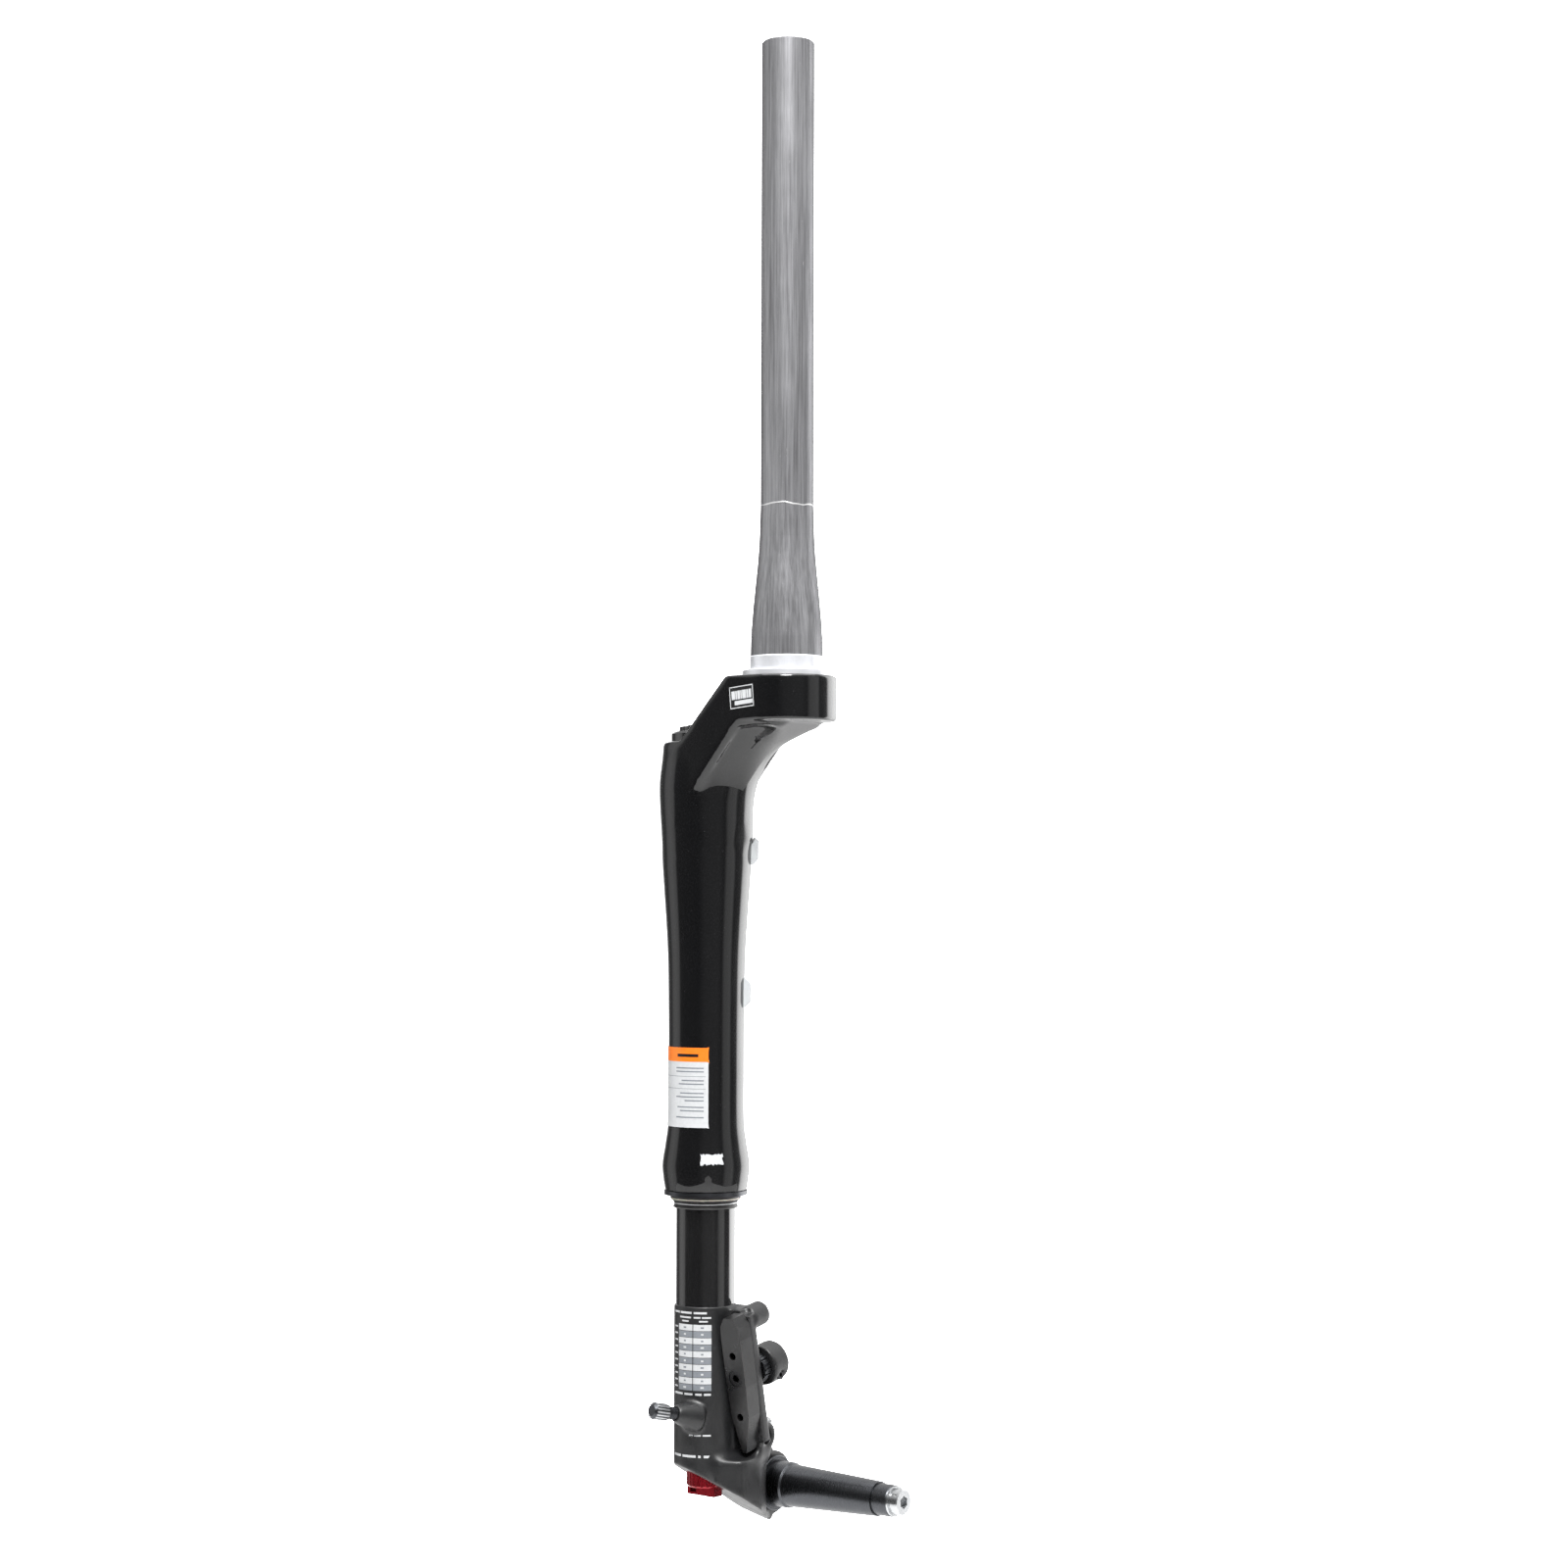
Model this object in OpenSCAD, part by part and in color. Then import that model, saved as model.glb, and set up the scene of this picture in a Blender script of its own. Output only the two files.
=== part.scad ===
// Single-sided suspension fork with a one-piece carbon crown and outer leg.
// Millimetres. +Z runs up the steering axis, the wheel lies in the plane X = 0,
// the leg stands at +X and the fork's front faces -Y.
// The origin is on the steering axis, on the shoulder that the crown race rests on.

/* [Steerer] */
// Length of steerer above the crown race shoulder
steerer_len = 340; // [220:1:350]
// Outer diameter of the straight upper steerer
steerer_d = 28.6; // [28.6:0.1:28.6]
// Inner diameter of the straight upper steerer
steerer_bore_d = 22.8; // [22:0.1:23.5]
// Height at which the taper begins
taper_top = 88; // [60:1:110]
// Diameter at the foot of the taper
taper_d = 38.9; // [38:0.1:39.5]

/* [Crown] */
// Diameter of the crown race seat
race_seat_d = 39.8; // [39.8:0.1:39.8]
// Height of the crown race seat
race_seat_h = 7.5; // [6:0.5:9]
// Radius of the crown round the steerer
crown_r = 27; // [25:0.5:29]
// Thickness of the crown round the steerer
crown_h = 24.4; // [22:0.1:28]

/* [Leg] */
// Sideways distance from the steering axis to the leg axis
leg_x = 55; // [54:0.5:56]
// Outer diameter of the sliding inner leg
inner_leg_d = 32.3; // [32.3:0.1:32.3]
// Suspension travel
travel = 40; // [20:1:40]

/* [Axle] */
// Distance of the axle in front of the steering axis
rake = 50; // [45:1:52]
// Distance of the axle below the crown race shoulder
axle_drop = 446; // [446:1:446]
// Diameter of the inner wheel bearing seat
inner_seat_d = 25; // [25:1:25]
// Diameter of the outer wheel bearing seat
outer_seat_d = 17; // [17:1:17]

/* [Brake] */
// Distance between the two caliper bolts
caliper_pitch = 34; // [34:1:34]
// Lean of the caliper face away from the leg axis
caliper_lean = 11.4; // [8:0.1:14]

/* [Hidden] */
$fn = 96;
eps = 0.01;

// Colours
carbon = "#4a4a4c";
gloss_black = "#0b0b0d";
satin_black = "#1c1d1f";
alloy = "#c8cacd";
steel = "#8f9296";
rubber_black = "#202020";
cream = "#d8d4c4";
red_alloy = "#a8101c";
bronze = "#8a6a3c";
gunmetal = "#55585c";
foam_grey = "#6b6b66";
white_plastic = "#d9dcdd";

// Crown
flange_h = 3.2;
flange_d = 48;
crown_top = -flange_h;
crown_bottom = crown_top - crown_h;

// Outer leg heights
rim_z = -37;
leg_end_z = -281;
leg_bore_r = 18.4;
cap_pocket_r = 20.4;

// Running gear: three flat roller tracks at 120 degrees
track_half_w = 5;
needle_r = 0.9;
needle_centre = 16;
outer_track = 17;
inner_track = 15;
strip_t = 1;
cage_top = -140;
cage_len = 60;
needle_step = 5;
run_gap = 0.05;

// Inner leg heights at full extension
inner_leg_r = inner_leg_d / 2;
inner_leg_bore_r = 12.8;
inner_leg_top = -134;
inner_leg_foot = -392;
casting_top = -342.6;
casting_r = 17;

// Damper and air spring
cartridge_r = 10;
cartridge_bore_r = 9;
cartridge_foot = -238;
shaft_r = 4.5;
shaft_bore_r = 2;
bulkhead_top = -384;
bulkhead_foot = -408;

// Axle
axle_y = -rake;
axle_z = -axle_drop;
axle_root_x = 47;
axle_boss_r = 17.5;
hub_room_r = 17.6;

// Air valve on the back of the casting
valve_base = [50.5, 13.5, -401.5];
valve_turn = -12;
valve_rise = 12;
valve_stem_r = 3.1;

// Brake mount
adapter_x = 30;
caliper_mid = [adapter_x, 3.8, -385];
lock_y = -4.5;
pin_rows = [-33, 27];

// ---------- helpers ----------

// Smooth step from 0 to 1
function ease(t) = t * t * (3 - 2 * t);

// Radius between two stations [z, r], eased, at n steps
function stretch(a, b, n) = [for (i = [0:n - 1]) let (t = i / n) [a[1] + (b[1] - a[1]) * ease(t), a[0] + (b[0] - a[0]) * t]];

// Outline of one station after another, each eased into the next
function flow(s, n) = [for (k = [0:len(s) - 2]) each stretch(s[k], s[k + 1], n)];

module tube(r_out, r_in, z_low, z_high) {
    translate([0, 0, z_low])
        difference() {
            cylinder(r = r_out, h = z_high - z_low);
            translate([0, 0, -1])
                cylinder(r = r_in, h = z_high - z_low + 2);
        }
}

module disc(r, z_low, z_high) {
    translate([0, 0, z_low])
        cylinder(r = r, h = z_high - z_low);
}

module ring(r_mid, r_wire, z) {
    translate([0, 0, z])
        rotate_extrude()
            translate([r_mid, 0])
                circle(r = r_wire, $fn = 24);
}

module at_leg() {
    translate([leg_x, 0, 0])
        children();
}

// Along the wheel axle: the child's +Z becomes -X, towards the axle's free end
module along_axle(x) {
    translate([x, axle_y, axle_z])
        rotate([0, -90, 0])
            children();
}

// Along the air valve: the child's +Z points out of the leg
module along_valve() {
    translate(valve_base)
        rotate([0, 0, valve_turn])
            rotate([valve_rise - 90, 0, 0])
                children();
}

// On the caliper face: the child's +Z points out of the face
module on_caliper_face() {
    translate(caliper_mid)
        rotate([-90 - caliper_lean, 0, 0])
            children();
}

module three_tracks() {
    for (a = [60, 180, 300])
        rotate([0, 0, a])
            children();
}

// ---------- steerer and crown ----------

module steerer_tube() {
    wall_foot = 3.4;
    color(carbon)
        difference() {
            rotate_extrude()
                polygon(concat(
                    [[0, steerer_len], [steerer_d / 2 - 0.8, steerer_len], [steerer_d / 2, steerer_len - 0.8]],
                    [[steerer_d / 2, taper_top]],
                    flow([[taper_top - 8, steerer_d / 2 + 0.3], [8.4, taper_d / 2]], 8),
                    [[taper_d / 2, 8.4], [taper_d / 2, race_seat_h], [17.4, race_seat_h], [17.4, -24], [0, -24]]
                ));
            translate([0, 0, taper_top])
                cylinder(d = steerer_bore_d, h = steerer_len - taper_top + 1);
            rotate_extrude()
                polygon([[0, taper_top + eps], [steerer_bore_d / 2, taper_top + eps],
                    [17.4 - wall_foot, 6], [17.4 - wall_foot, -25], [0, -25]]);
        }
}

module crown_race_seat() {
    color(alloy)
        rotate_extrude()
            polygon([[17.4, 7.5], [race_seat_d / 2 - 0.5, race_seat_h], [race_seat_d / 2, race_seat_h - 0.5],
                [race_seat_d / 2, 0], [flange_d / 2 - 0.6, 0], [flange_d / 2, -0.6],
                [flange_d / 2, crown_top], [17.4, crown_top]]);
}

// Plan of the crown arm: a round end at the steerer blending to a round end at the leg
module crown_plan() {
    arm_r = 25;
    lean = asin((crown_r - arm_r) / leg_x);
    circle(r = crown_r);
    translate([leg_x, 0])
        circle(r = arm_r);
    polygon([
        [crown_r * sin(lean), crown_r * cos(lean)],
        [leg_x + arm_r * sin(lean), arm_r * cos(lean)],
        [leg_x + arm_r * sin(lean), -arm_r * cos(lean)],
        [crown_r * sin(lean), -crown_r * cos(lean)]
    ]);
}

// Side outline of the arm that steps down from the crown to the leg
module arm_side() {
    polygon([[-crown_r - 1, crown_top], [22, crown_top], [68, -51.5], [66, -80], [58, -80],
        [18, -32], [13, crown_bottom], [-crown_r - 1, crown_bottom]]);
}

// Side outline of the scooped web under the arm
module web_side() {
    scoop_r = 39.5;
    scoop_x = -10;
    scoop_z = -76;
    polygon(concat(
        [[-14, crown_bottom + 4], [40, crown_bottom + 4], [66, -51], [66, -100], [31, -100], [29.5, -82]],
        [for (a = [0:6:66]) [scoop_x + scoop_r * cos(a), scoop_z + scoop_r * sin(a)]],
        [[-14, crown_bottom]]
    ));
}

module extrude_across(width) {
    translate([0, width / 2, 0])
        rotate([90, 0, 0])
            linear_extrude(width)
                children();
}

module crown_arm() {
    intersection() {
        translate([0, 0, -120])
            linear_extrude(120)
                crown_plan();
        extrude_across(80)
            arm_side();
    }
}

module crown_web() {
    intersection() {
        hull() {
            translate([6, 0, -26])
                cylinder(r = 24.5, h = 2, $fn = 48);
            translate([leg_x, 0, -26])
                cylinder(r = 24.5, h = 2, $fn = 48);
            translate([42, 0, -84])
                cylinder(r = 13, h = 2, $fn = 48);
            translate([leg_x, 0, -98])
                cylinder(r = 22, h = 2, $fn = 48);
        }
        extrude_across(80)
            web_side();
    }
}

module leg_outside() {
    at_leg()
        rotate_extrude()
            polygon(concat(
                [[0, rim_z], [23.4, rim_z], [24.2, rim_z - 0.8]],
                flow([[-39, 24.4], [-62, 26.4], [-100, 24.7], [-152, 21.3], [-185, 20.7]], 6),
                flow([[-245, 20.7], [-268, 23.9], [-280, 22.4]], 6),
                [[22.2, leg_end_z], [0, leg_end_z]]
            ));
}

module crown_and_outer_leg() {
    color(gloss_black)
        difference() {
            union() {
                leg_outside();
                crown_arm();
                crown_web();
            }
            // steerer socket
            translate([0, 0, -24])
                cylinder(r = 17.4, h = 30);
            translate([0, 0, crown_bottom - 1])
                cylinder(r = 12, h = 10);
            for (g = guide_rows)
                on_hose_line(g[0])
                    guide_screw(g[1]);
            // leg bore, seal seat and the pocket over the top cap
            at_leg() {
                disc(leg_bore_r, leg_end_z - 1, -46);
                disc(19.4, -47, rim_z + eps);
                disc(cap_pocket_r, rim_z, 0);
                disc(19.6, leg_end_z - 1, -272);
            }
        }
}

// ---------- top of the leg ----------

module top_cap() {
    color(satin_black)
        at_leg()
            difference() {
                rotate_extrude()
                    polygon([[0, -31.5], [18.6, -31.5], [19.8, -32.7], [19.8, rim_z], [19.3, rim_z],
                        [19.3, -45.8], [17.6, -45.8], [17.6, -48], [0, -48]]);
                disc(2.05, -49, -30);
                disc(4, -49, -44);
                // groove for the seal ring
                tube(20, 18.2, -43.4, -41);
                // spanner holes
                for (a = [45:90:315])
                    rotate([0, 0, a])
                        translate([16.9, 0, -34])
                            cylinder(r = 1, h = 3);
                // pocket for the detent ball
                translate([8, 0, -33.5])
                    cylinder(r = 1.25, h = 3);
            }
}

module top_cap_oring() {
    color(rubber_black)
        at_leg()
            ring(18.78, 0.58, -42.2);
}

module lockout_dial() {
    color(satin_black)
        at_leg()
            difference() {
                union() {
                    disc(15.4, -31.2, -29);
                    translate([0, 0, -29])
                        cylinder(r1 = 15.4, r2 = 14.8, h = 0.4);
                    // finger bar and hub
                    translate([-12, -2.2, -28.6])
                        cube([24, 4.4, 1.3]);
                    disc(5, -28.6, -27.3);
                }
                disc(2.05, -32, -27);
                disc(3.2, -29.6, -27);
                for (a = [0:15:359])
                    rotate([0, 0, a])
                        translate([15.9, 0, -32])
                            cylinder(r = 0.8, h = 4, $fn = 24);
            }
}

module dial_screw() {
    color(steel)
        at_leg()
            difference() {
                union() {
                    disc(3.1, -29.5, -27.9);
                    disc(1.2, -34, -29.5 + eps);
                }
                translate([0, 0, -28.9])
                    cylinder(r = 1.25, h = 3, $fn = 6);
            }
}

module lockout_spindle() {
    color(steel)
        at_leg()
            difference() {
                disc(2, -57.5, -29.7);
                disc(1.2, -34, -29);
            }
}

module dial_detent_ball() {
    color(steel)
        at_leg()
            translate([8, 0, -32.4])
                sphere(r = 1, $fn = 32);
}

// ---------- damper and air spring ----------

module damper_cartridge() {
    color(alloy)
        at_leg()
            difference() {
                union() {
                    disc(cartridge_r, cartridge_foot, -50);
                    disc(11.5, -53, -48);
                }
                disc(cartridge_bore_r, cartridge_foot - 1, -56);
                disc(2.1, -60, -47);
            }
}

module compression_valve() {
    color(bronze)
        at_leg()
            difference() {
                disc(cartridge_bore_r, -66, -58);
                for (a = [0:60:300])
                    rotate([0, 0, a])
                        translate([5.6, 0, -67])
                            cylinder(r = 1.1, h = 10);
            }
}

module floating_piston() {
    color(alloy)
        at_leg()
            difference() {
                disc(cartridge_bore_r - run_gap, -98, -86);
                tube(cartridge_bore_r + 1, 7.9, -93.2, -90.8);
                disc(6.5, -90, -85);
            }
}

module floating_piston_oring() {
    color(rubber_black)
        at_leg()
            ring(8.4, 0.5, -92);
}

module shaft_seal_head() {
    color(alloy)
        at_leg()
            difference() {
                disc(cartridge_bore_r, cartridge_foot, -226);
                disc(shaft_r + run_gap, -240, -225);
                disc(6.4, -234, -230);
            }
}

module shaft_seal() {
    color(rubber_black)
        at_leg()
            tube(6.4, shaft_r + 0.04, -234, -230);
}

module topout_bumper() {
    color(rubber_black)
        at_leg()
            tube(8.4, 5, -226, -219);
}

module air_piston() {
    color(alloy)
        at_leg()
            difference() {
                disc(inner_leg_bore_r - run_gap, -252, cartridge_foot);
                disc(shaft_r + run_gap, -253, -237);
                tube(14, 11, -247.5, -243.5);
            }
}

module air_piston_seal() {
    color(rubber_black)
        at_leg()
            tube(inner_leg_bore_r - 0.03, 11, -247, -244);
}

// ---------- running gear ----------

// One flat-faced track bedded on the leg's bore
module outer_strip(z_low, z_high) {
    translate([0, 0, z_low])
        intersection() {
            cylinder(r = leg_bore_r, h = z_high - z_low);
            translate([outer_track, -track_half_w, 0])
                cube([4, 2 * track_half_w, z_high - z_low]);
        }
}

module outer_race_strips() {
    color(steel)
        at_leg()
            three_tracks()
                outer_strip(cage_top - cage_len - 3, cage_top + travel / 2 + 3);
}

module race_retaining_ring() {
    color(steel)
        at_leg()
            tube(leg_bore_r, 16.9, -206.5, -204.5);
}

module roller_cages() {
    color(white_plastic)
        at_leg()
            three_tracks()
                difference() {
                    translate([needle_centre - 0.5, -4.6, cage_top - cage_len])
                        cube([1, 9.2, cage_len]);
                    for (z = [2.5:needle_step:cage_len - 2])
                        translate([needle_centre - 2, -3.6, cage_top - cage_len + z - 1])
                            cube([4, 7.2, 2]);
                }
}

module needle_rollers() {
    color(steel)
        at_leg()
            three_tracks()
                for (z = [2.5:needle_step:cage_len - 2])
                    translate([needle_centre, 3.5, cage_top - cage_len + z])
                        rotate([90, 0, 0])
                            cylinder(r = needle_r, h = 7, $fn = 24);
}

module inner_race_strips() {
    color(steel)
        at_leg()
            three_tracks()
                translate([inner_track - strip_t, -track_half_w, cage_top - cage_len - travel / 2 - 3])
                    cube([strip_t, 2 * track_half_w, cage_len + travel / 2 + 5]);
}

module lower_bushing() {
    color(bronze)
        at_leg()
            tube(leg_bore_r, inner_leg_r + run_gap, -268, -250);
}

module foam_ring() {
    color(foam_grey)
        at_leg()
            tube(18.2, inner_leg_r + 0.1, -271.8, -268.2);
}

module seal_collar() {
    color(gunmetal)
        at_leg()
            difference() {
                union() {
                    disc(19.55, -281, -272.4);
                    disc(22.7, -283.4, -281);
                }
                disc(17.9, -284, -276);
                disc(inner_leg_r + 0.3, -277, -271);
                tube(21, 18.9, -279.6, -277.6);
            }
}

module collar_oring() {
    color(rubber_black)
        at_leg()
            ring(19.24, 0.32, -278.6);
}

module seal_retaining_ring() {
    color(cream)
        at_leg()
            tube(19.35, 17.9, -285.6, -284.9);
}

module wiper_seal() {
    color(rubber_black)
        at_leg()
            rotate_extrude()
                polygon([[inner_leg_r + 0.04, -277], [17.9, -277], [17.9, -283.5], [19.2, -283.5],
                    [19.2, -284.9], [17.9, -284.9], [17.9, -285.6], [18.7, -285.6], [18.7, -286.4],
                    [17.2, -287], [17.0, -288.2], [17.8, -289.8], [17.5, -290.3],
                    [inner_leg_r + 0.04, -289.9]]);
}

module wiper_garter_spring() {
    color(steel)
        at_leg()
            ring(17.35, 0.36, -287.6);
}

// ---------- hose guides ----------

module on_hose_line(z) {
    at_leg()
        rotate([0, 0, 217])
            translate([0, 0, z])
                children();
}

// A saddle for the brake hose: sloped ends and one long groove
module hose_saddle(r_face) {
    saddle_h = 3.4;
    groove_r = 2.6;
    difference() {
        translate([0, 4.5, 0])
            rotate([90, 0, 0])
                linear_extrude(9)
                    polygon([[r_face - 3, -8], [r_face + 0.6, -8], [r_face + saddle_h, -5],
                        [r_face + saddle_h, 5], [r_face + 0.6, 8], [r_face - 3, 8]]);
        translate([r_face + saddle_h + 0.4, 0, -10])
            cylinder(r = groove_r, h = 20);
        guide_screw(r_face);
    }
}

module guide_screw(r_face) {
    translate([r_face - 2, 0, 0])
        rotate([0, 90, 0]) {
            cylinder(r = 1.1, h = 2.5, $fn = 24);
            translate([0, 0, 2.4])
                cylinder(r = 1.9, h = 0.8, $fn = 24);
        }
}

// Height and leg radius at each hose guide
guide_rows = [[-96, 24.9], [-174, 20.9]];

module hose_guides() {
    color(white_plastic)
        difference() {
            for (g = guide_rows)
                on_hose_line(g[0])
                    hose_saddle(g[1]);
            leg_outside();
            crown_web();
        }
}

module hose_guide_screws() {
    color(steel)
        for (g = guide_rows)
            on_hose_line(g[0])
                guide_screw(g[1]);
}

// ---------- inner leg and lower casting ----------

module inner_leg_tube() {
    color(gloss_black)
        at_leg()
            difference() {
                disc(inner_leg_r, inner_leg_foot, inner_leg_top);
                disc(inner_leg_bore_r, inner_leg_foot - 1, inner_leg_top + 1);
                // flats that carry the inner tracks
                three_tracks()
                    translate([inner_track - strip_t, -track_half_w, cage_top - cage_len - travel / 2 - 3])
                        cube([4, 2 * track_half_w, 200]);
            }
}

// Everything under the slanted foot of the casting
module below_foot() {
    slope_x = 0.243;
    slope_y = 0.554;
    foot_z = -438.6;
    translate([leg_x, 0, foot_z])
        multmatrix([[1, 0, 0, 0], [0, 1, 0, 0], [slope_x, slope_y, 1, 0]])
            translate([-60, -80, -60])
                cube([120, 120, 60]);
}

module casting_arm() {
    ledge_z = -424;
    // foot of the arm, from the leg to the axle root
    translate([0, 0, -480])
        linear_extrude(480 + ledge_z)
            polygon([[39, 11], [26, 3], [25.5, -13], [47, -46], [47, axle_y], [68, axle_y], [71.6, -4]]);
    // neck in front of the leg
    intersection() {
        translate([0, 0, -480])
            linear_extrude(120)
                polygon([[40, 0], [41, -18], [47, -46], [47, axle_y], [68, axle_y], [71.8, -3], [71, 0]]);
        translate([30, 0, 0])
            rotate([90, 0, 90])
                linear_extrude(50)
                    polygon([[0, -392], [-14, -396], [-24, -407], [-34, -418], [-44, -426],
                        [axle_y, -428.5], [axle_y, -470], [0, -470]]);
    }
    along_axle(69)
        cylinder(r = axle_boss_r, h = 69 - axle_root_x);
    along_axle(71)
        cylinder(r1 = axle_boss_r - 2, r2 = axle_boss_r, h = 2 + eps);
}

module casting_brake_mount() {
    // web between the leg and the brake rail
    translate([31, -11.6, -420])
        cube([16, 8.6, 72]);
    on_caliper_face() {
        // rail that the adapter beds on
        translate([-6, -36.5, -16])
            cube([12, 71, 5.7]);
        // upper guide boss and its gusset
        translate([0, -33, -28])
            cylinder(r = 6.7, h = 12);
        translate([0, -39, -22])
            cube([22, 11, 11]);
        // lock bolt boss, set back from the rail by a gap for the knurled nut
        translate([0, lock_y, -34])
            cylinder(r = 11, h = 12);
        translate([0, lock_y - 6, -31])
            cube([26, 13, 11]);
    }
    // lower ear
    translate([27, -19, -414])
        rotate([0, 90, 0])
            cylinder(r = 8, h = 16);
    translate([27, -24, -428])
        cube([18, 12, 14]);
}

module lower_leg_casting() {
    color(satin_black)
        difference() {
            union() {
                at_leg()
                    disc(casting_r, -470, casting_top);
                casting_arm();
                casting_brake_mount();
                along_valve() {
                    cylinder(r1 = 9.2, r2 = 5, h = 12.5);
                    translate([0, 0, 12.5 - eps])
                        cylinder(r1 = 5, r2 = 4.2, h = 2);
                }
            }
            below_foot();
            at_leg() {
                disc(inner_leg_r, inner_leg_foot, casting_top + 1);
                disc(inner_leg_bore_r, bulkhead_foot, inner_leg_foot + 1);
                disc(10.8, -480, bulkhead_foot + 1);
            }
            // spindle socket, and room for the hub beside the axle root
            along_axle(61)
                cylinder(r = 11, h = 20);
            along_axle(axle_root_x)
                cylinder(r = hub_room_r, h = 27);
            // air way
            along_valve()
                translate([0, 0, -6])
                    cylinder(r = valve_stem_r, h = 30);
            on_caliper_face() {
                translate([0, lock_y, -40])
                    cylinder(r = 3.05, h = 50);
                for (y = pin_rows)
                    translate([0, y, -23])
                        cylinder(r = 2.5, h = 20);
                // bed of the adapter
                translate([-7, -40, -10.02])
                    cube([14, 78.3, 11]);
                // room for the knurled nut
                translate([0, lock_y, -22])
                    cylinder(r = 8.6, h = 5.9);
                translate([-12, lock_y + 6, -28])
                    rotate([0, 90, 0])
                        cylinder(r = 2.1, h = 22);
                translate([-12, lock_y + 6, -28])
                    rotate([0, 90, 0])
                        cylinder(r = 2.8, h = 4.6);
            }
            translate([26, -19, -414])
                rotate([0, 90, 0])
                    cylinder(r = 4.6, h = 7);
        }
}

module axle_spindle() {
    color(steel)
        along_axle(0)
            difference() {
                rotate_extrude()
                    polygon([[0, -61], [11, -61], [11, -axle_root_x], [14.6, -axle_root_x], [15, -axle_root_x + 0.4],
                        [15, -44.4], [14.6, -44], [inner_seat_d / 2, -44], [inner_seat_d / 2, -34],
                        [11.6, -33], [9.6, 20], [9.3, 26], [outer_seat_d / 2, 26], [outer_seat_d / 2, 35.4],
                        [8.1, 36], [0, 36]]);
                translate([0, 0, 8])
                    cylinder(r = 4, h = 29);
                translate([0, 0, -62])
                    cylinder(r = 6, h = 62);
            }
}

module axle_washer() {
    color(steel)
        along_axle(-36)
            tube(8.1, 4.1, 0, 1.2);
}

module axle_bolt() {
    color(alloy)
        along_axle(-36)
            difference() {
                union() {
                    translate([0, 0, -24])
                        cylinder(r = 4, h = 25.2 + eps);
                    translate([0, 0, 1.2])
                        cylinder(r = 7, h = 4.4);
                    translate([0, 0, 5.6])
                        cylinder(r1 = 7, r2 = 6.4, h = 0.6);
                }
                translate([0, 0, 2.4])
                    cylinder(r = 3.46, h = 5, $fn = 6);
            }
}

// ---------- damper parts carried by the lower leg ----------

module damper_shaft() {
    color(alloy)
        at_leg()
            tube(shaft_r, shaft_bore_r, -420, -205);
}

module damper_piston() {
    color(bronze)
        at_leg()
            difference() {
                disc(8.7, -218.5, -208.5);
                disc(shaft_r, -219, -208);
                tube(10, 8, -216.5, -211.5);
                for (a = [30:60:330])
                    rotate([0, 0, a])
                        translate([6.4, 0, -220])
                            cylinder(r = 0.9, h = 13, $fn = 24);
            }
}

module piston_glide_ring() {
    color(rubber_black)
        at_leg()
            tube(cartridge_bore_r - 0.04, 8, -216.3, -211.7);
}

module piston_nut() {
    color(steel)
        at_leg()
            difference() {
                translate([0, 0, -208.5])
                    cylinder(r = 7.6, h = 3.5, $fn = 6);
                disc(shaft_r, -209, -204);
            }
}

module bottom_out_bumper() {
    color(rubber_black)
        at_leg()
            tube(9, shaft_r, cartridge_foot - 14.3 - travel - 13, cartridge_foot - 14.3 - travel);
}

module foot_bulkhead() {
    color(alloy)
        difference() {
            at_leg()
                disc(inner_leg_bore_r, bulkhead_foot, bulkhead_top);
            at_leg() {
                disc(shaft_r, -420, -380);
                tube(14, 11.6, -389.6, -387);
                // air way up into the chamber
                translate([-4.5, 7.8, -402])
                    cylinder(r = 1.6, h = 24);
            }
            along_valve()
                translate([0, 0, -4])
                    cylinder(r = valve_stem_r, h = 10);
        }
}

module bulkhead_oring() {
    color(rubber_black)
        at_leg()
            ring(12.19, 0.58, -388.3);
}

module foot_nut() {
    color(steel)
        at_leg()
            difference() {
                union() {
                    translate([0, 0, -417])
                        cylinder(r = 9.2, h = 7, $fn = 6);
                    disc(10.4, -410, bulkhead_foot);
                }
                disc(shaft_r, -420, -400);
            }
}

module rebound_rod() {
    color(steel)
        at_leg()
            union() {
                disc(shaft_bore_r - run_gap, -434, -214);
                translate([0, 0, -214 - eps])
                    cylinder(r1 = shaft_bore_r - run_gap, r2 = 0.6, h = 5);
            }
}

module rebound_knob() {
    color(red_alloy)
        at_leg()
            difference() {
                union() {
                    disc(9.9, -440, -432.5);
                    translate([0, 0, -441])
                        cylinder(r1 = 9.1, r2 = 9.9, h = 1 + eps);
                    // finger lever
                    translate([-9.4, -3.4, -446])
                        cube([18.8, 6.8, 5.6]);
                    disc(4.4, -432.6, -424);
                }
                disc(shaft_bore_r - run_gap, -434, -423);
                // grub screw hole
                translate([0, 0, -428])
                    rotate([-90, 0, 0])
                        cylinder(r = 1.25, h = 6, $fn = 24);
                // finger recess
                translate([3.2, -5, -444.6])
                    cube([4.2, 10, 2.8]);
                for (a = [0:20:359])
                    rotate([0, 0, a])
                        translate([10.4, 0, -442])
                            cylinder(r = 0.9, h = 12, $fn = 24);
            }
}

module knob_grub_screw() {
    color(steel)
        at_leg()
            translate([0, 1.95, -428])
                rotate([-90, 0, 0])
                    cylinder(r = 1.25, h = 2.4, $fn = 24);
}

// ---------- air valve ----------

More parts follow.
